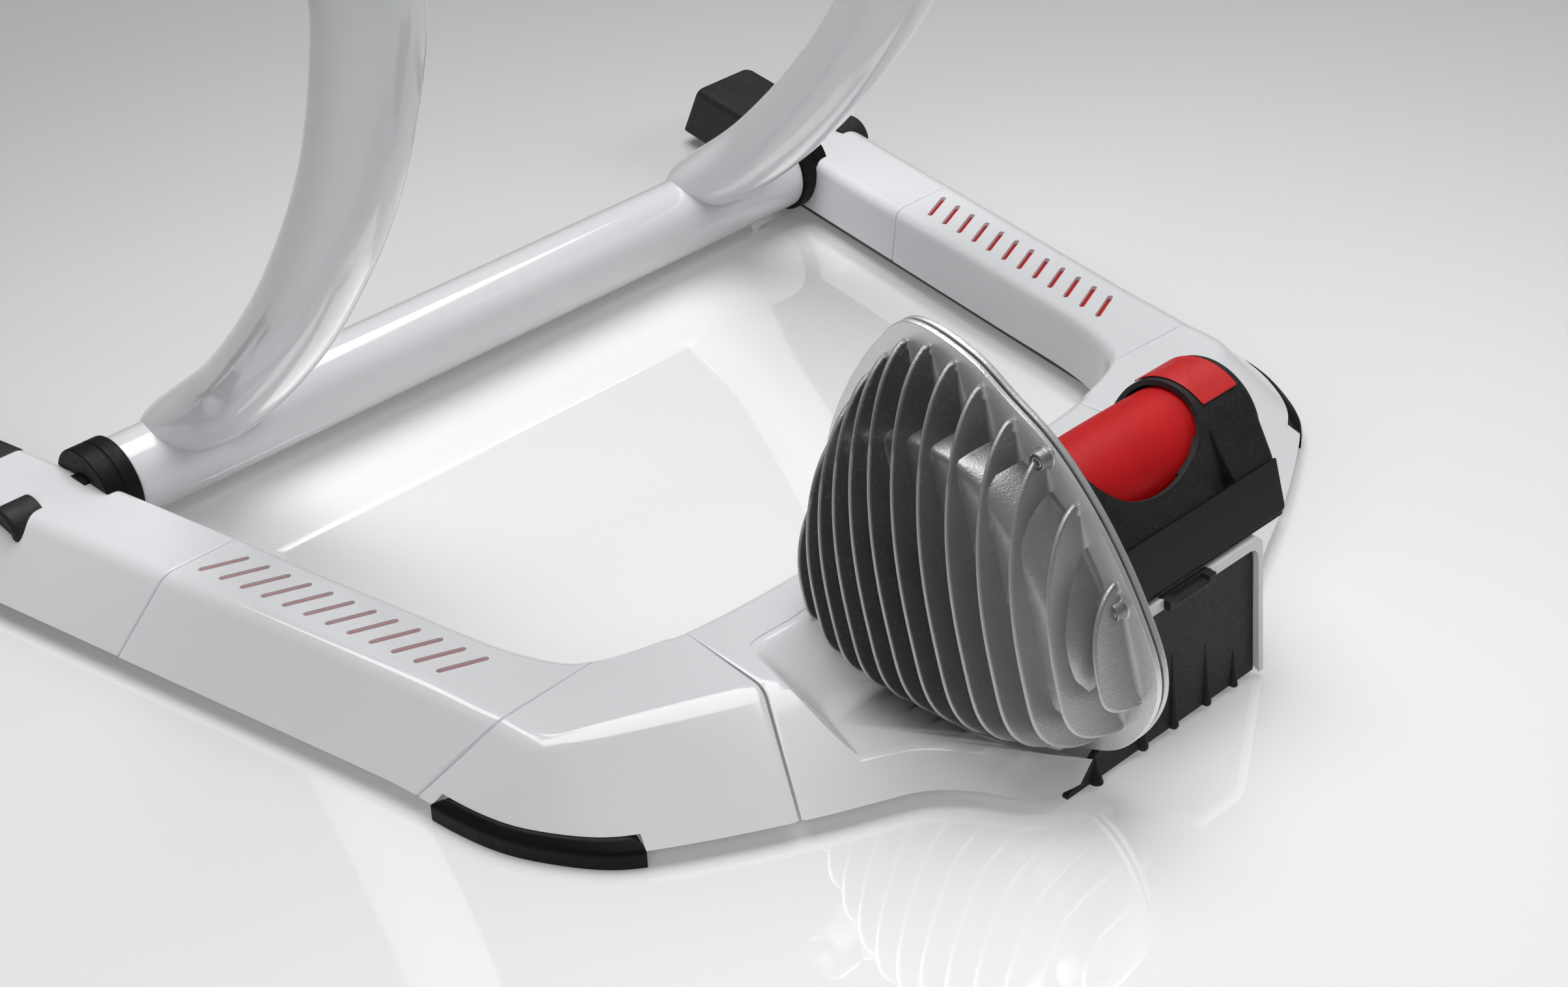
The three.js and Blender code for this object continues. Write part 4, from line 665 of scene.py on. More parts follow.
# %% Front feet
def foot_block():
    """A rail section run forward: each point of the last ring stands further out the lower it is."""
    start, end = (np.array([rail_station(y)]) for y in (RAIL_FRONT + FIT, FOOT_FRONT))
    rings = []
    for share, inset in ((0, 0.8), (0.02, 0), (0.3, 0), (0.7, 0), (0.93, 0), (0.975, 0.5), (1, 2.2)):
        ring = section(start + (end - start) * share, TOP - inset, BOTTOM, inset, 5.0, 6)[0]
        ring[:, 1] += FOOT_RAKE * share * (TOP - ring[:, 2]) / (TOP - BOTTOM)
        ring[:, 0] += SPLAY * FOOT_RAKE * share * (TOP - ring[:, 2]) / (TOP - BOTTOM)
        rings.append(ring)
    return loft(rings)


def sole(bottom, top, inset):
    """The flat underside between two heights, drawn in from the block's edge."""
    y0, y1 = RAIL_FRONT + FIT + inset, FOOT_FRONT + FOOT_RAKE / 2 - inset / 2
    line = [[rail_inner(y0) + inset, y0], [rail_inner(y0) + RAIL_WIDTH - inset, y0],
            [rail_inner(y1) + RAIL_WIDTH - inset, y1], [rail_inner(y1) + inset, y1]]
    return prism(rounded(line, 4, 5), bottom, top, 2)


pair("front_foot", merge(foot_block(), sole(5.3, 9.3, 3)), "black_plastic", "front_block", bevel=0.7)
pair("front_pad", sole(0, 5, 6), "rubber", "front_sole", bevel=0.8)
tell()

# %% [markdown]
# ## Middle cover and its tower
# One moulding bridges the two corners. It carries a tower for the roller unit, and beside it a smooth scoop
# leaves room for the brake. Sculpting could shape it, but then no wall would have an even thickness.
# The same cuts as in the source are made here with finer bodies: shell, tower, scoop, bed and openings.
# The scoop's wall leaves the floor and meets the top in soft curves, which is what makes its rim shine.

# %% Middle cover
def half_bridge(path):
    """The bridge's stations from a seam to the tower, drawn back by a gap at the seam."""
    part = path[SEAM_B:].copy()
    part[0] += (part[1] - part[0]) * GAP / np.linalg.norm((part[1] - part[0])[:2])
    return part


MIDDLE = np.vstack([half_bridge(PATH), (half_bridge(LEFT_PATH) * [-1, 1, -1, 1, -1, 1])[::-1]])
PLATE_X, FLANGE_BACK, FLANGE_X = -50.0, -54.6, -57.6
TOWER_TOP, TOWER_LEAN = 76.5, 5.5


def tower(inset):
    """The tower as a prism along X: it leans a little at the back and falls in steps to the front.

    Drawn in by an inset it is the tool that hollows the tower out, and then it reaches below the floor.
    """
    back_low, front_low = (-20, -20) if inset else (3, BOTTOM)
    rear = -(REAR - inset)
    line = [[rear, back_low], [rear + TOWER_LEAN, TOWER_TOP - inset],
            [ROLLER[1] - SHIFT[1] + HOOD_SIDE, 56 - inset], [-222 + 68 / 3 - inset, 38 - inset],
            [-222 + 34 - inset, front_low], [rear + 12, front_low]]
    return prism(rounded(line, [0, 0.5, 5, 9, 0, 0], 5), -49.4 + inset, 60 - inset)


POCKET_RIM = [[0.18, 0.53], [0.41, 0.522], [0.511, 0.523], [0.528, 0.533], [0.557, 0.603],
              [0.615, 0.713], [0.629, 0.788], [0.62, 0.88], [0.4, 1], [0.18, 1.05]]
POCKET_FLOOR = [[0.2, 0.645], [0.36, 0.64], [0.45, 0.636], [0.49, 0.642], [0.515, 0.68],
                [0.545, 0.75], [0.57, 0.8], [0.56, 0.9], [0.4, 1.02], [0.2, 1.07]]
FLOOR_Z = 20.0


def pocket(grow):
    """The scoop beside the brake, between a floor outline and a rim outline.

    Its wall leaves the floor gently: height is the root of t squared plus a small square, less the small one.
    It also meets the top gently: depth d becomes half of d plus the root of d squared plus the lip squared.
    """
    mid = np.array([-0.41 * HALF, -REAR * 0.9])
    floor, rim = (mid + (curve(np.array(line) * [-HALF, -REAR], 6, True) - mid) * (1 + grow / 120)
                  for line in (POCKET_FLOOR, POCKET_RIM))
    soft, lip = 0.14, 2.2
    rings = []
    for t in (0, 0.05, 0.1, 0.16, 0.24, 0.34, 0.46, 0.6, 0.72, 0.82, 0.9, 0.95, 1.0, 1.04, 1.08, 1.12):
        rise = (math.sqrt(t * t + soft * soft) - soft) / (math.sqrt(1 + soft * soft) - soft)
        below = (TOP - FLOOR_Z + grow) * (1 - rise)
        plan = floor + (rim - floor) * t
        rings.append(np.c_[plan, np.full(len(plan), TOP - (below + math.hypot(below, lip)) / 2)])
    rings.append(rings[-1] * [1, 1, 0] + [0, 0, TOP + 20])
    return loft(rings)


HOUSING = np.array([
    [0.38, 0.97], [0.05, 0.83], [-0.14, 0.647], [-0.33, 0.45], [-0.52, 0.12], [-0.65, -0.28],
    [-0.685, -0.6], [-0.6, -0.8], [-0.35, -1], [0.1, -1.02], [0.5, -0.94], [0.84, -0.83],
    [1.08, -0.68], [1.22, -0.42], [1.23, -0.05], [1.09, 0.33], [0.86, 0.63], [0.61, 0.85]]) * 100
OUTLINE = curve(HOUSING, 10, True)
OUTLINE = even(np.vstack([OUTLINE, OUTLINE[:1]]), 181)[:-1]
OUTLINE_MID = np.array([28.0, -12.0])


def outline(x, inset=0.0):
    """The brake's outline at one X, drawn in towards its middle by a share of its 100 mm reach."""
    return set_at(OUTLINE_MID + (OUTLINE - OUTLINE_MID) * (1 - inset / 100), x)


def in_unit(shape):
    """A shape drawn about the roller, placed as the covers are drawn: leaning, but without the shift."""
    return leaning(shape[0]) - SHIFT, shape[1]


def clearance(grow):
    """Room round the finned housing: a body that narrows with the fins, by a share of the outline."""
    out = 2.6 + grow
    rings = [outline(PLATE_X + FIT + grow, 100 * (1 - 1.053 - grow / 100))]
    for high, scale in ((0, 1.025), (8, 0.97), (16, 0.925), (24, 0.87), (32, 0.79), (40, 0.68), (46, 0.5)):
        rings.append(outline(FLANGE_X - high - out * high / 46, 100 * (1 - scale - out / 100)))
    return in_unit(loft(rings))


def bracket_room(grow):
    """Room for the unit's bracket: a prism with a slanted top."""
    rear, nose = (leaning([[0, y, -44.0]])[0] - SHIFT for y in (-28.0, 28.0))
    return prism([[rear[1] - grow, 11.7], [rear[1] - grow, rear[2] + grow],
                  [nose[1] + grow, nose[2] + grow], [nose[1] + 12 + grow, 11.7]], -36 - grow, 48 + grow)


def unit_bed():
    """Everything above the slanted bed that the roller unit sits on."""
    return in_unit(block((-92, -92, HOOD_FOOT - FIT), (92, 92, 46)))


def panel_plane(z):
    """Y of the rear panel's face at a height: it leans as the tower does."""
    return -REAR + TOWER_LEAN * z / TOWER_TOP + 3


LATCH_LOW, LATCH_HIGH = np.array([-11, -309, 71.3]), np.array([22, -302, 76.2])
PANEL = [[56.5, 3], [56.5, 71], [-46.6, 71], [-46.6, 17.5], [-55, 17.5], [-76.5, 4.5], [-76.5, 3]]


def panel_body(front, back, grow=0.0):
    """A plate over the panel's line, between two depths behind its leaning plane."""
    line = np.array(PANEL, float) + grow * np.array([[1, -1], [1, 1], *[[-1, 1]] * 4, [-1, -1]])
    line = rounded(line, [0, 7, 1, 0, 3, 1.5, 0], 5)
    return loft([np.c_[line[:, 0], panel_plane(line[:, 1]) + depth, line[:, 1]] for depth in (front, back)])


def middle():
    """The bridge, the tower and the scoop, cut in the same order as in the source."""
    bridge = cover_shell(MIDDLE)
    room = loft(section(MIDDLE, TOP - WALL, BOTTOM - 0.01, WALL, 4.0))
    inside = tower(WALL)
    scoops = (pocket(0), clearance(0))
    lining = boolean(pocket(WALL), [clearance(WALL)], "UNION")
    whole = boolean(cover_solid(MIDDLE, -0.06), [tower(0.06)], "UNION")
    wall = boolean(cut(lining, *scoops), [whole], "INTERSECT")
    opening = panel_body(-20, 3 + FIT, FIT)
    behind = prism([[panel_plane(z) + d, z] for z, d in ((-10, 0), (71.3, 0), (71.3, 13.3), (-10, 13.3))],
                   -46.9, 56.8)
    latch = block(LATCH_LOW - FIT, [*(LATCH_HIGH + FIT)[:2], 99])
    a, bend_radius = np.linspace(0, math.pi / 2, 9), 6.02
    arc = np.c_[54 + bend_radius * np.cos(a), 70.5 + bend_radius * np.sin(a)]
    bend = np.vstack([arc, [[54, 78], [61, 78], [61, 70.5]]])
    round_off = prism(bend, -330, -150, 1)
    cutters = (*scoops, bracket_room(FIT), unit_bed(), opening, behind, latch, round_off)
    steps = [("DIFFERENCE", inside), ("UNION", cut(tower(0), inside, room)), ("UNION", wall)]
    return largest(chain(bridge, steps + [("DIFFERENCE", cutter) for cutter in cutters]))


piece("middle_cover", middle(), "cover_white", bevel=1.0, weigh=False)
tell()

# %% [markdown]
# The black panel closes the back of the tower. Its five thorn-shaped ribs grow wider and prouder towards the
# floor, where they carry the load. Each rib is a row of half-round sections, because a cone would end too
# bluntly at its tip. The latch above has a finger groove, cut as a prism.


# %% Rear panel and latch
def rib(x, top, wide, proud):
    """One rib: half-round sections that widen and stand out with a power of the way down, on a blunt foot."""
    rings = []
    for t in np.r_[np.linspace(0.001, 0.9, 14), 0.95, 0.985, 1]:
        z = top + (1.2 - top) * t
        foot = math.sqrt(max(1 - ((t - 0.93) / 0.07) ** 2, 0.1)) if t > 0.93 else 1
        half, out = (0.25 + wide * t**0.9) * foot, (0.2 + proud * t**1.2) * foot
        a = np.linspace(0, math.pi, 13)
        rings.append(np.c_[x + half * np.cos(a), panel_plane(z) + 1 - (out + 1) * np.sin(a) ** 0.8,
                           np.full(13, z)])
    return loft(rings)


RIBS = [(-57, 15, 3.4, 3.6), (-24.5, 40, 2.6, 3), (-2.5, 42, 2.4, 2.8), (21.5, 35, 2.2, 2.6),
        (41.5, 22, 2, 2.4)]
panel = merge(panel_body(0, 3), *[rib(*values) for values in RIBS])
piece("rear_panel", panel, "black_plastic", bevel=0.5)
groove = prism(rounded([[-312, 78], [-312, 73.6], [-305, 73.6], [-303.6, 78]], [0, 0, 2, 0], 4), -6, 17)
piece("panel_latch", cut(block(LATCH_LOW, LATCH_HIGH), groove), "black_plastic", bevel=0.7)
tell()

# %% [markdown]
# ## Fluid brake
# The brake sheds its heat through a cast aluminium dome of thirteen fins round a drum, on a flange that is
# screwed to a back plate. An array of flat plates would look cut from sheet. A cast fin is thicker at its
# root and round at its rim, so each one is a single skin whose half-width falls towards the rim.
# Handling wears the rims bright, so a rim attribute on the points leads the finish from dark to bare metal.
# The same attribute also paints light and shade: painted shade towards the fin roots, painted light on the
# fins to one side, and a painted highlight on the rims and the flange.


# %% Brake flange and plates
def plate_body(x0, x1):
    """A plate with the brake's outline: rings close each face, and its edges are rounded."""
    edge = 0.6
    ways = [(0, 60), (0, 8), (0, edge), (0.3 * edge, 0.3 * edge), (edge, 0)]
    turn = np.sign(x0 - x1)
    steps = [(x0 - turn * depth, inset) for depth, inset in ways]
    steps += [(x1 + turn * depth, inset) for depth, inset in ways[::-1]]
    return loft([outline(x, inset) for x, inset in steps])


def drum():
    """The round body behind the fins: in each direction the nearer of a circle and the drawn-in outline."""
    mid = np.array([35.0, -30.0])
    a = np.linspace(0, 2 * math.pi, 160, endpoint=False)
    rings = []
    for x, inset, ease in ((-56, 14, 0), (-62, 16, 0), (-74, 22, 0), (-80, 25, 0.4), (-82.4, 26.5, 1.6),
                           (-83.4, 27.5, 3.6), (-83.6, 29, 8), (-83.6, 60, 50)):
        line = outline(x, inset)[:, 1:] - mid
        angle = np.arctan2(line[:, 1], line[:, 0])
        order = np.argsort(angle)
        reach = np.interp(a, angle[order], np.linalg.norm(line, axis=1)[order], period=2 * math.pi)
        reach = np.minimum(reach, 84) - ease
        rings.append(set_at(mid + reach[:, None] * circle(len(a)), x))
    return loft(rings)


FINS, FIN_FIRST, FIN_PITCH = 13, -55.3, 13.8
FIN_HEIGHT, FIN_HALF, FIN_INSET = 48, 1.12, 7


def span_at(y):
    """Lowest and highest point of the drawn-in outline at one Y."""
    line = outline(0, FIN_INSET)[:, 1:]
    after = np.roll(line, -1, 0)
    hit = (line[:, 0] - y) * (after[:, 0] - y) < 0
    t = (y - line[hit, 0]) / (after[hit, 0] - line[hit, 0])
    z = line[hit, 1] + t * (after[hit, 1] - line[hit, 1])
    return z.min(), z.max()


def fin(y, steps=30):
    """One fin as a single skin: up one side, round the rim and down the other.

    Its height is the dome's height there times (1 - s ** p) ** 0.64, with s running from its peak to its end.
    """
    low, high = span_at(y)
    peak = FIN_HEIGHT * max(1 - ((y - 36) / 98) ** 2, 0) ** 0.37
    middle = low + (high - low) * 0.3
    lines = []
    for end, power in ((high, 2.4), (low, 3.6)):
        s = np.sin(np.linspace(math.pi / 2, 0, steps))
        part = np.c_[peak * (1 - s**power) ** 0.64, middle + (end - middle) * s]
        lines.append(part if end == high else part[::-1][1:])
    edge = even(np.vstack(lines), 2 * steps)
    side = np.gradient(edge, axis=0)
    side = np.c_[-side[:, 1], side[:, 0]] / np.linalg.norm(side, axis=1)[:, None]
    side *= np.sign(side[steps, 0])
    inner = edge - side * FIN_HALF
    columns = []
    half = lambda height: FIN_HALF + 0.65 * (1 - np.clip(height / max(peak, 1), 0, 1)) ** 1.5
    for share in (0, 0.06, 0.2, 0.45, 0.75, 0.95):
        height = -1.5 + (inner[:, 0] + 1.5) * share
        columns.append((height, inner[:, 1], half(height) + (0.8 if share == 0 else 0)))
    rings = [np.c_[FLANGE_X - h, y + w, z] for h, z, w in columns]
    for a in np.linspace(0, math.pi, 7):
        tip = inner + side * FIN_HALF * math.sin(a)
        rings.append(np.c_[FLANGE_X - tip[:, 0], y + half(inner[:, 0]) * math.cos(a), tip[:, 1]])
    rings += [np.c_[FLANGE_X - h, y - w, z] for h, z, w in columns[::-1]]
    return loft(np.stack(rings, 1))


SCREWS = np.array([[-0.296, 0.4], [-0.55, -0.27], [-0.05, -0.91], [0.75, -0.77], [1.12, -0.25]]) * 100


def boss(y, z):
    """A screw boss with a flared foot and a sunk seat."""
    line = [[6.2, -57], [4.6, -58.4], [4.4, -63.6], [3.4, -63.6], [3.4, -61], [1, -61], [1, -57]]
    return moved(turned(line, [0, 1.2, 0.9, 0.3, 0.3, 0, 0], 40), [0, y, z])


def socket_screw(y, z):
    """A screw with a round head, a hexagonal socket and a stem."""
    a = np.linspace(0, 2 * math.pi, 48, endpoint=False)
    hexagon = 1.6 / np.cos((a + math.pi / 6) % (math.pi / 3) - math.pi / 6)
    rings = [(-61.9, hexagon * 0.2), (-61.9, hexagon * 0.98), (-63.4, hexagon), (-63.5, hexagon + 0.15),
             (-63.5, 2.6), (-63.3, 2.9), (-63, 3), (-61.3, 3), (-61.1, 2.9), (-61.1, 2), (-50, 2)]
    return moved(loft([set_at((r * circle(len(a)).T).T, x) for x, r in rings]), [0, y, z])


def housing_wear_and_painted_light(points):
    """How bare the metal looks, with painted light and shade: painted shade deepens towards the fin roots over
    the flange, painted light brightens the fins to one side, and the rims and flange are set bright as bare
    metal with a painted highlight.
    """
    back = points - ROLLER
    y = back[:, 1] * math.cos(LEAN) - back[:, 2] * math.sin(LEAN)
    x = points[:, 0]
    near = np.abs((y - FIN_FIRST + FIN_PITCH / 2) % FIN_PITCH - FIN_PITCH / 2) < 0.62
    # painted light: the fins at the low-Y end are lighter, as if lit from that side
    right = np.clip((40 - y) / 90, 0, 1) ** 1.5
    # painted shade: darker towards the fin roots near the flange, where the fins shade one another
    value = (0.1 + 0.9 * right) * (0.3 + 0.7 * np.clip((-58 - x) / 46, 0, 1))
    # fin rims: worn bare metal, with a painted highlight as well
    value[near & (x < -58.5)] = 0.65
    # flange: bare machined metal, set to full brightness as a painted highlight as well
    value[x > -58.2] = 1.0
    return value


fins = [fin(FIN_FIRST + FIN_PITCH * i) for i in range(FINS)]
casting = merge(plate_body(FLANGE_X, FLANGE_BACK), drum(), *fins, *[boss(*at) for at in SCREWS])
piece("finned_housing", casting, "casting", place=leaning, bevel=0, rim=housing_wear_and_painted_light)
back = merge(plate_body(-53, PLATE_X),
             turned([[16.3, -45], [16.3, -35], [22, -35], [22, -51], [7, -51], [7, -45]], 0.4))
piece("brake_back_plate", back, "casting", place=leaning, bevel=0,
      rim=lambda points: np.where(points[:, 0] < PLATE_X + 0.5, 0.8, 0.0))
for number, at in enumerate(SCREWS, 1):
    piece(f"flange_screw_{number}", socket_screw(*at), "steel", place=leaning, bevel=0)
tell()

# %% [markdown]
# ## Roller and hood
# The roller is a red elastomer sleeve with a slight crown, turned about its axis like the real one.
# The hood arches over its right end. Its skin could be bent from a plane, but the opening for the tyre is
# easier as a half-ellipse that is cut through a solid arch, and the facet beside it as a cut by one crooked
# body.
# The red patch is bare, and so is the smooth black band: the real ones carry words, which are left off.


# %% Roller and hood
sleeve = turned([[21, -32], [25.5, -32], [25.9, -24], [26.4, -4], [26.5, 12.5], [26.4, 29], [25.9, 49],
                 [25.5, 57], [21, 57]], [0, 1.6, 4, 8, 8, 8, 4, 1.6, 0], 144, 4)
piece("roller_sleeve", sleeve, "roller_red", place=leaning, bevel=0)


def hood_line(inset):
    """The hood's section in Y and Z: two upright sides, two shoulders and an arc over the roller."""
    r, side = HOOD_RADIUS - inset, HOOD_SIDE - inset
    a = np.linspace(0, math.pi, 49)
    arc = np.c_[r * np.cos(a), r * np.sin(a)]
    right = rounded([[side, HOOD_FOOT], [side, HOOD_SHOULDER], [r, 0]], [0, 5, 0], 6, False)
    left = rounded([[-r, 0], [-side, HOOD_SHOULDER], [-side, HOOD_SHOULDER - 0.01], [-side, HOOD_FOOT]],
                   [0, 1, 1, 0], 4, False)
    return np.vstack([right[:-1], arc, left[1:]])


def hood():
    """The hood as a shell along X, with a rounded right end, less the window and what is below."""
    rings = []
    for x, inset in ((-49.7, 0), (-20, 0), (20, 0), (44, 0), (60, 0), (76.4, 0), (78.2, 0.35), (79.3, 1.1),
                     (79.85, 2.2), (80, 3.6)):
        (y, z), scale = hood_line(0).T, 1 - inset / 40
        rings.append(set_at(np.c_[y * scale, np.where(z > HOOD_FOOT, z * scale, z)], x))
    outer = loft(rings)
    inner = prism(hood_line(WALL), -90, 77.5)
    below = block((-90, -31.5, -66), (77.5, 31.5, -45.7))
    backing = cut(block((22, -33.6, -24), (53, -24, 8)), turned([[0, 20], [28, 20], [28, 55], [0, 55]], 0))
    shell = boolean(cut(outer, inner, below), [boolean(backing, [outer], "INTERSECT")], "UNION")
    return cut(shell, dent(), window())


def dent():
    """The facet between the window and the arch: it leaves the skin there and is deep at the plate."""
    skin = np.array([[46, -28.4, 9.6], [51.2, -34.3, -20.5], [44, -34.3, -25], [23, -30.8, -3]])
    deep = np.array([[50.7, -29.6, -19.6]])
    points = np.vstack([skin, deep, skin * [1, 0, 1] - [0, 44, 0]])
    return points, [[0, 4, 3], [3, 4, 2], [0, 1, 4], [1, 2, 4], [0, 5, 6, 1], [1, 6, 7, 2], [2, 7, 8, 3],
                    [3, 8, 5, 0], [5, 8, 7, 6]]


def window():
    """The opening for the tyre: half an ellipse that hangs from the height of the hood's crown."""
    mid, half, depth = 7, 40.5, 35
    a = np.linspace(-math.pi, 0, 49)
    arc = np.c_[mid + half * np.cos(a), HOOD_RADIUS + depth * np.sin(a)]
    return prism(np.vstack([arc, [mid + half, 60], [mid - half, 60]]), -70, 70, 1)


piece("unit_cover", hood(), "black_plastic", place=leaning, bevel=1.0, angle=30)


def patch():
    """A thin red patch on the hood's crown: a curved plate with rounded corners."""
    low, high = (math.radians(angle) * HOOD_RADIUS for angle in (60, 142))
    corners = rounded([[50.3, low], [74.8, low], [74.8, high], [50.3, high]], 0.8, 3)
    corners = even(np.vstack([corners, corners[:1]]), 161)[:-1]
    mid = corners.mean(0)
    rings = []
    for scale, rise in ((0.999, 0.3), (1, 0.7), (0.99, 0.88), (0.97, 0.9), (0.7, 0.9), (0.4, 0.9),
                        (0.1, 0.9)):
        flat, r = mid + (corners - mid) * scale, HOOD_RADIUS + rise
        angle = flat[:, 1] / HOOD_RADIUS
        rings.append(np.c_[flat[:, 0], r * np.cos(angle), r * np.sin(angle)])
    return loft(rings)


piece("hood_patch", patch(), "insert_red", place=leaning, bevel=0)
band = rounded([[-49.4, -44], [79.7, -44], [79.7, -18], [-49.4, -18]], [0.5, 3, 1.5, 0.5], 5)
piece("label_plate", prism(band, -34.3, -34.9, 1), "label_black", place=leaning, bevel=0.2)
tell()

# %% [markdown]
# ## Swing arms and the front pivot
# Each arm is a bent and flattened steel tube that widens to a flared root. A curve with a bevel would keep
# one section all along, so ellipses of changing width are set square to a smooth middle line instead.
# The foot is then cut to the cross tube, and the head to the clamp, as a welder would notch them.

# %% Arms
ARM = [[1.026, 0.033], [0.806, 0.129], [0.55, 0.271], [0.35, 0.411], [0.135, 0.609], [0.019, 0.79],
       [-0.01, 0.877], [-0.005, 1]]
ARM_X, ARM_ROOT, ARM_NECK, ARM_HEAD, ROOT_SHARE = 184, 34, 22, 25, 0.16
TUBE_RADIUS, CLAMP_RADIUS = 22.5, 19


def arm():
    """Elliptical sections along the arm, whose half-widths are given at the root, the neck and the head."""
    line = np.array([[run * PIVOT[1], PIVOT[2] + lift * (AXLE_Z - PIVOT[2])] for run, lift in ARM])
    line = even(curve(line, 30), 97)
    ahead = np.gradient(line, axis=0)
    ahead /= np.linalg.norm(ahead, axis=1)[:, None]
    across = np.c_[-ahead[:, 1], ahead[:, 0]]
    a = np.linspace(0, 2 * math.pi, 72, endpoint=False)
    rings = []
    for i, share in enumerate(np.linspace(0, 1, len(line))):
        t = min(share / ROOT_SHARE, 1)
        neck = t * t * (3 - 2 * t)
        rest = max(share - ROOT_SHARE, 0) / (1 - ROOT_SHARE)
        wide = ARM_ROOT + (ARM_NECK + (ARM_HEAD - ARM_NECK) * rest - ARM_ROOT) * neck
        deep = 19 + 8 * share
        plan = line[i] + across[i] * (deep * np.sin(a))[:, None]
        rings.append(np.c_[ARM_X + wide * np.cos(a), plan])
    root = rod(TUBE_RADIUS + 0.1, 0, 300, *PIVOT[1:], 128)
    head = rod(CLAMP_RADIUS + 0.1, 0, 300, 0, AXLE_Z, 96)
    above, below = block((0, -60, AXLE_Z), (400, 60, 800)), block((0, -200, -100), (400, 400, PIVOT[2]))
    return cut(loft(rings), root, head, above, below)


pair("swing_arm", arm(), "paint_white", bevel=0.8, angle=45)
tube = turned([[20, -236], [TUBE_RADIUS, -236], [TUBE_RADIUS, 236], [20, 236]], 0.8, 128)
piece("cross_tube", moved(tube, PIVOT), "paint_white", bevel=0)

collar = turned([[4.8, 206], [19.7, 206], [19.7, 236.4], [25, 236.4], [25, 245], [24.4, 245.4], [24.4, 246.2],
                 [25, 246.6], [25, 256], [4.8, 256]], [0, 1, 0, 1.4, 0.2, 0.2, 0.2, 0.2, 1, 0], 96)
spigot = turned([[4.8, 250], [12, 250], [12, 258.9], [4.8, 258.9]], 0.5, 64)
RAIL = loft(section([rail_station(y) for y in (RAIL_SEAM, RAIL_FRONT)], TOP + FIT, -11, -FIT))
bush = merge(cut(moved(collar, PIVOT), RAIL), moved(spigot, PIVOT))
pair("pivot_bush", bush, "rubber", bevel=0.3)
cap = turned([[0, CAP_X], [13, CAP_X], [13, CAP_X + 19], [8, CAP_X + 19], [7, CAP_X + 18.2],
              [0, CAP_X + 18.2]], [0, 0.5, 3, 0.5, 0.5, 0], 72)
pair("pivot_cap", moved(cap, PIVOT), "black_plastic", bevel=0)
tell()

# %% [markdown]
# ## Axle clamps
# The clamps hold the bicycle's axle, above the edge of the photograph. The right one has a sprung plunger,
# a clevis and a cam lever, and the left one a screw with a lobed knob. Most of it is turned on a lathe,
# so profiles are spun about the axle's line, and only the lever is cut afterwards, where it is bored for its
# pin.

# %% Clamps
CUP = [[0, 78.5], [6, 78.5], [12, 70.5], [17, 70.5], [17, 85.5]]
CLAMP_IN, CLAMP_OUT, SPRING_SEAT = 98, 214, 154
turning = {
    "clamp_body_right": ("paint_white", 1, [[11.3, CLAMP_IN], [CLAMP_RADIUS, CLAMP_IN],
                                            [CLAMP_RADIUS, CLAMP_OUT], [14.6, CLAMP_OUT], [14.6, SPRING_SEAT],
                                            [11.3, SPRING_SEAT]], [0.5, 1.6, 1, 0.5, 0.5, 0.5]),
    "clamp_body_left": ("paint_white", -1, [[9.3, CLAMP_IN], [CLAMP_RADIUS, CLAMP_IN],
                                            [CLAMP_RADIUS, CLAMP_OUT], [9.3, CLAMP_OUT]],
                        [0.5, 1.6, 1.6, 0.5]),
    "clamp_plunger": ("steel", 1, [*CUP, [11, 85.5], [11, 195.4], [14, 195.4], [14, 200.4], [7, 200.4],
                                   [7, CLAMP_OUT], [0, CLAMP_OUT]],
                      [0, 1.5, 0.8, 1, 1.5, 0.8, 0.5, 0.6, 0.6, 0.5, 0.8, 0]),
    "adjuster_cup": ("steel", -1, [*CUP, [4.8, 85.5], [4.8, 81], [0, 81]],
                     [0, 1.5, 0.8, 1, 1.5, 0.5, 0.3, 0]),
}
for node, (slot, side, profile, radii) in turning.items():
    shape = turned(profile, radii)
    piece(node, shape if side > 0 else mirror(shape), slot, place=at_axle, bevel=0)


COILS, WIRE, COIL_RADIUS, COIL_START, COIL_LENGTH = 8, 1.35, 12.65, 154.6, 41.4


def coil():
    """The plunger's spring: a wire wound round the axle's line, with closed ends."""
    t = np.linspace(0, 1, 321)
    angle = 2 * math.pi * COILS * t
    x = COIL_START + WIRE + (COIL_LENGTH - 2 * WIRE) * np.clip((t - 0.08) / 0.84, 0, 1)
    out = np.c_[np.zeros(len(t)), np.cos(angle), np.sin(angle)]
    path = set_at(COIL_RADIUS * out[:, 1:], x)
    ring = circle(10)[:, :, None]
    return loft([p + 1.3 * (ring[:, 0] * o + ring[:, 1] * [1, 0, 0]) for p, o in zip(path, out)])


piece("plunger_spring", coil(), "steel", place=at_axle, bevel=0)


def knob():
    """The adjusting knob and screw: finger scallops round a rim, rounded at both faces."""
    scallops, radius = 7, 22
    a = np.linspace(0, 2 * math.pi, 168, endpoint=False)
    grip = 1.5 * (1 - np.cos(scallops * a))
    rings = []
    for x, inset in ((222, 12), (222, 5), (222.3, 3.4), (223.2, 1.7), (224.8, 0.4), (226.5, 0), (241.5, 0),
                     (243.2, 0.4), (244.8, 1.7), (245.7, 3.4), (246, 5), (246, 8), (245.2, 8.8), (245, 10),
                     (245, 19)):
        r = radius - inset - grip * max(1 - inset / 8, 0)
        rings.append(set_at(r[:, None] * circle(len(a)), x))
    stem = [[0, 81.3], [4.5, 81.3], [4.5, 85.8], [9, 85.8], [9, 230], [0, 230]]
    return mirror(merge(loft(rings), turned(stem, [0, 0.6, 0, 0.8, 0, 0], 48)))


piece("adjuster_screw", knob(), "black_plastic", place=at_axle, bevel=0)
PIN_X, PIN_HOLE, CAM_REACH, CAM_LIFT = 227.6, 3.3, 13, 4.7
CAM_OPEN, CAM_RETURN = math.radians(100), math.radians(70)


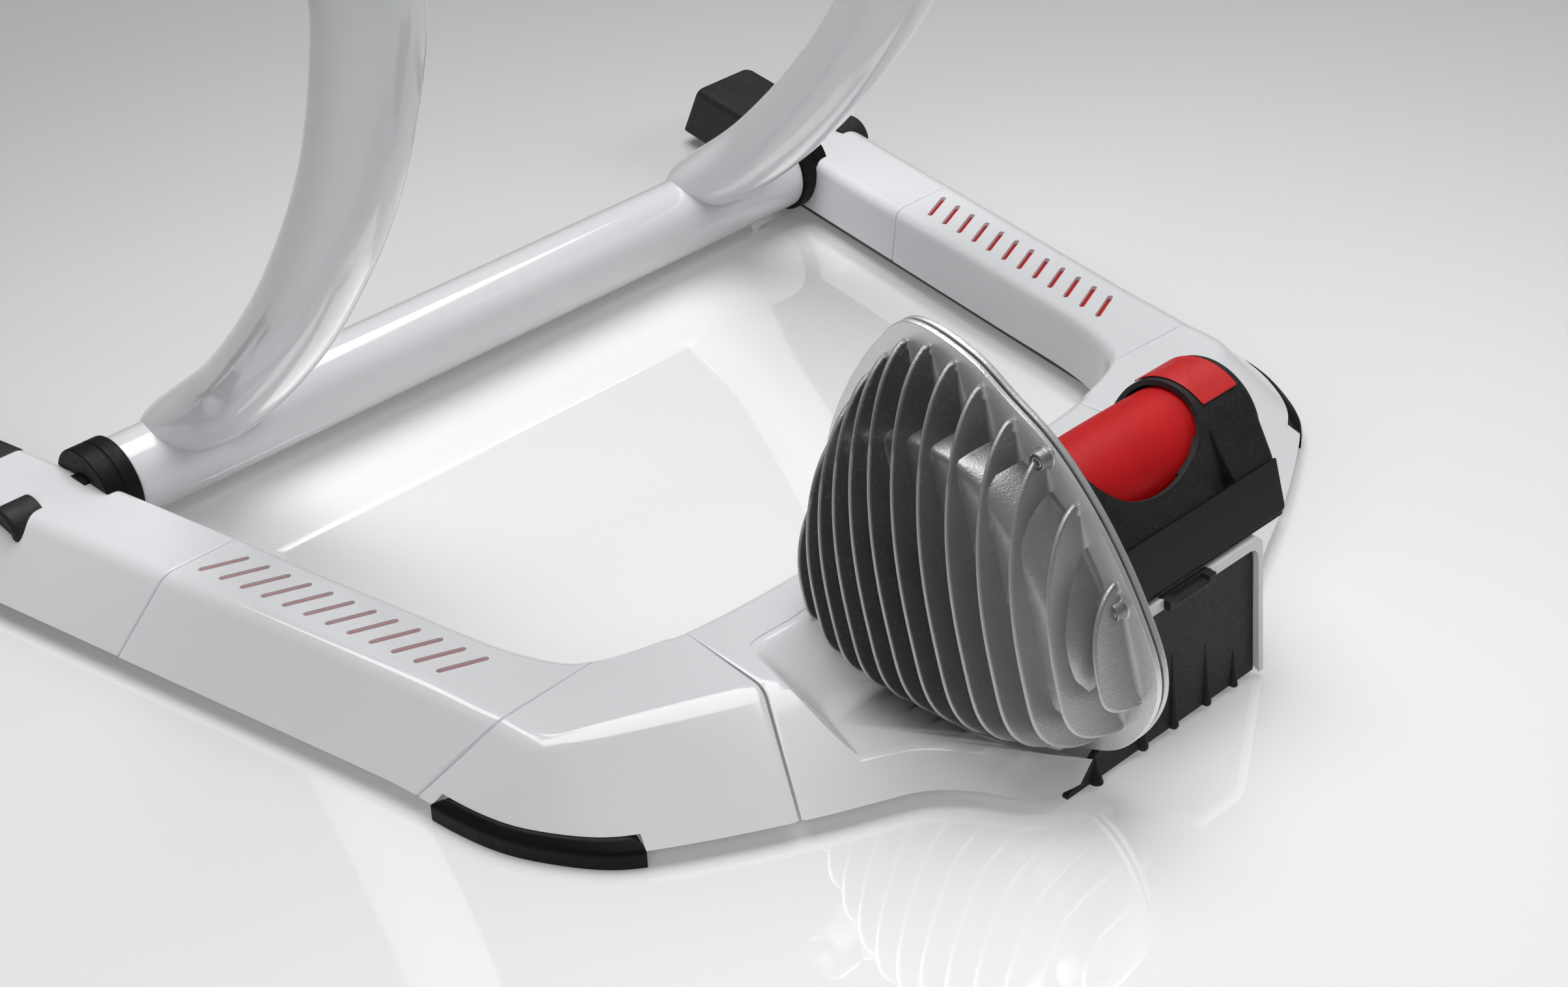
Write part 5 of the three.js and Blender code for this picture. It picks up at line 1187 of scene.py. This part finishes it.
def cam_line():
    """The cam in X and Z: its reach falls by the lift while the lever opens, then returns more steeply."""
    a = np.linspace(0, 2 * math.pi, 96, endpoint=False)
    fall = np.minimum(a / CAM_OPEN, 1) - np.maximum((a - 2 * math.pi) / CAM_RETURN + 1, 0)
    reach = CAM_REACH - CAM_LIFT * fall
    return np.c_[PIN_X - reach * np.cos(a), reach * np.sin(a)]


def side_plate(line, width):
    """A plate over a line drawn in X and Z, centred on the middle plane."""
    return prism(line, -width / 2, width / 2, 1)


def lever():
    """The cam, a bowed stem and a wider grip, joined and bored for the pin."""
    start = PIN_X - 3
    s = np.linspace(0, 1, 25)[:, None]
    bow = lambda a, b, c: (1 - s) ** 2 * a + 2 * s * (1 - s) * b + s**2 * c
    outer = bow(*(np.array(v) for v in ([start + 8, 0], [start + 16, -46], [start + 8, -92])))
    inner = bow(*(np.array(v) for v in ([start, -92], [start + 8, -46], [start, 0])))
    stem = np.vstack([outer, inner])
    grip = boolean(side_plate(stem, 15), [block((200, -20, -93), (260, 20, -62))], "INTERSECT")
    body = boolean(side_plate(cam_line(), 14), [side_plate(stem, 14), grip], "UNION")
    return cut(body, side_plate(PIN_HOLE * circle(48) + [PIN_X, 0], 60))


piece("clamp_lever", lever(), "black_plastic", place=at_axle, bevel=1.0)
tell()

# %% [markdown]
# Small machined parts, such as bolts, rings and blocks, are right as packed but have sharp edges.
# Drawing them anew would gain nothing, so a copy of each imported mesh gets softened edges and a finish.


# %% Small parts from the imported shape
def softened(node, slot, bevel):
    """A copy of a node's mesh with flat neighbours joined and its edges softened."""
    bm = bmesh.new()
    bm.from_mesh(frame["nodes"][node].data)
    bmesh.ops.remove_doubles(bm, verts=bm.verts, dist=1e-6)
    bmesh.ops.dissolve_limit(bm, angle_limit=math.radians(1), verts=bm.verts, edges=bm.edges)
    points, faces = shape_of(bm)
    piece(node, (points / MM, faces), slot, place=lambda points: points, bevel=bevel)


for node, slot, bevel in (("lever_clevis", "dark_steel", 0.6), ("lever_pin", "steel", 0.5),
                          ("unit_bracket", "dark_steel", 0.5), ("bearing_carrier", "casting", 0.6),
                          ("base_frame", "dark_steel", 0.4), ("pivot_block_right", "steel", 0.5),
                          ("pivot_block_left", "steel", 0.5)):
    softened(node, slot, bevel)

CARRIED = {
    "slot_insert_right": "insert_red", "slot_insert_left": "insert_red", "pivot_bolt_right": "steel",
    "pivot_bolt_left": "steel", "unit_bolt_1": "steel", "unit_bolt_2": "steel", "brake_gasket": "rubber",
    "shaft_seal": "rubber", "bearing_left": "steel", "bearing_right": "steel", "roller_core": "casting",
    "roller_shaft": "steel", "impeller": "black_plastic",
}
for node, slot in CARRIED.items():
    data = frame["nodes"][node].data
    data.materials.clear()
    data.materials.append(FINISH[slot])
tell()

# %% [markdown]
# ## Stage, light and camera
# The photograph is a studio shot on a glossy white table: bright near the part, greyer far off, with soft
# shadows and faint reflections. A large pale floor has that change of tone painted into its colour, as a
# painted pool of light round a spot near the part, with a painted glow that only the camera and reflections
# see.
# One wide lamp hangs above, since a wide lamp makes soft shadows, with weaker ones at the sides. The side
# lamps are hidden from reflections, because each would show as a hard bright square on the glossy floor.


# %% Stage
def seen_rays(add):
    """One for rays from the camera, from mirrors and through glass, and zero for rays that light things."""
    path = add("LightPath").node.outputs
    seen = path["Is Camera Ray"]
    for ray in ("Is Glossy Ray", "Is Transmission Ray"):
        seen = add("Math", {0: seen, 1: path[ray]}, operation="MAXIMUM")
    return seen


# The floor's colours are a painted pool of light: pale near a bright spot by the part, greyer far off.
FLOOR_PAINTED_POOL, FLOOR_PAINTED_LIT, FLOOR_PAINTED_DIM = (-0.12, -0.3, 0), (0.87, 0.872, 0.876), (0.63, 0.635, 0.64)


def stage_floor():
    """A pale, glossy floor with a painted pool of light: a wide sheet whose colour and glow fall off with
    distance from a bright spot.

    The glow is painted light: an emission seen by the camera and by reflections only, so it adds no light to
    the object.
    """
    side = np.linspace(-30, 30, 31)
    x, y = np.meshgrid(side, side)
    points, faces = grid(np.stack([x, y, 0 * x - 0.0002], -1), False)
    mesh = bpy.data.meshes.new("floor")
    mesh.from_pydata(points.tolist(), [], faces)
    mat = bpy.data.materials.new("floor")
    mat.use_nodes = True
    add = adder(mat.node_tree)
    where = add("TexCoord", output="Object")
    away = add("VectorMath", {0: where, 1: FLOOR_PAINTED_POOL}, "Value", operation="DISTANCE")
    # painted pool of light: one at the spot, falling to zero far off
    fall = ranged(add, away, 1.0, 0.0, 0.15, 1.2, interpolation_type="SMOOTHSTEP")
    # painted glow: an emission seen only by the camera and in reflections, strongest at the spot
    seen = add("Math", {0: fall, 1: seen_rays(add)}, operation="MULTIPLY")
    glow = add("Math", {0: seen, 1: 0.22}, operation="MULTIPLY")
    feed(mat.node_tree.nodes["Principled BSDF"], {
        "Base Color": mixed(add, fall, FLOOR_PAINTED_DIM, FLOOR_PAINTED_LIT), "Roughness": 0.06,
        "Coat Weight": 1, "Coat Roughness": 0.02, "Coat IOR": 2.3,
        "Emission Color": (1, 1, 1, 1), "Emission Strength": glow})
    mesh.materials.append(mat)
    obj = added("floor", mesh)


def lamp(name, place, target, size, power, mirrored=True):
    """A square soft lamp that looks at a point, and that mirrors show or not."""
    data = bpy.data.lights.new(name, "AREA")
    data.shape, data.size, data.energy = "SQUARE", size, power
    obj = added(name, data)
    obj.location, obj.visible_glossy = place, mirrored
    aim = np.array(target, float) - np.array(place, float)
    obj.rotation_euler = Vector(aim).to_track_quat("-Z", "Y").to_euler()


def world():
    """A white background for the camera, mirrors and glass, and a dim, graded studio for the light."""
    sky = bpy.data.worlds.new("studio")
    sky.use_nodes = True
    add = adder(sky.node_tree)
    up = add("SeparateXYZ", {0: add("TexCoord", output="Generated")}, "Z")
    studio = ranged(add, up, 0.34, 0.7, -0.2, 0.9)
    strength = add("Mix", {"Factor": seen_rays(add), "A": studio, "B": 0.95}, "Result")
    feed(sky.node_tree.nodes["Background"], {"Strength": strength})
    bpy.context.scene.world = sky


stage_floor()
world()
lamp("above", (0.25, 0.45, 2.2), (0, -0.05, 0), 1.9, 50)
lamp("right", (2.0, -1.2, 1.2), (0.0, -0.2, 0.1), 1.2, 19, mirrored=False)
lamp("left", (-2.0, -1.4, 1.5), (-0.1, -0.2, 0.05), 1.4, 20, mirrored=False)


def camera():
    """The photograph's camera: its place, and the three directions of its frame as a matrix's columns."""
    data = bpy.data.cameras.new("camera")
    data.lens, data.sensor_width = 65.8, 36
    right, up, out = (0.7107, -0.7028, -0.0306), (0.3988, 0.3667, 0.8405), (-0.5795, -0.6096, 0.5409)
    place = (-0.8453, -0.92744, 0.8055)
    obj = added("camera", data)
    obj.matrix_world = Matrix([*zip(right, up, out, place), (0, 0, 0, 1)])
    bpy.context.scene.camera = obj


camera()
bpy.context.scene.view_settings.view_transform = "Standard"
print(f"{len(bpy.data.lights)} lamps, and a lens of {bpy.context.scene.camera.data.lens} mm")
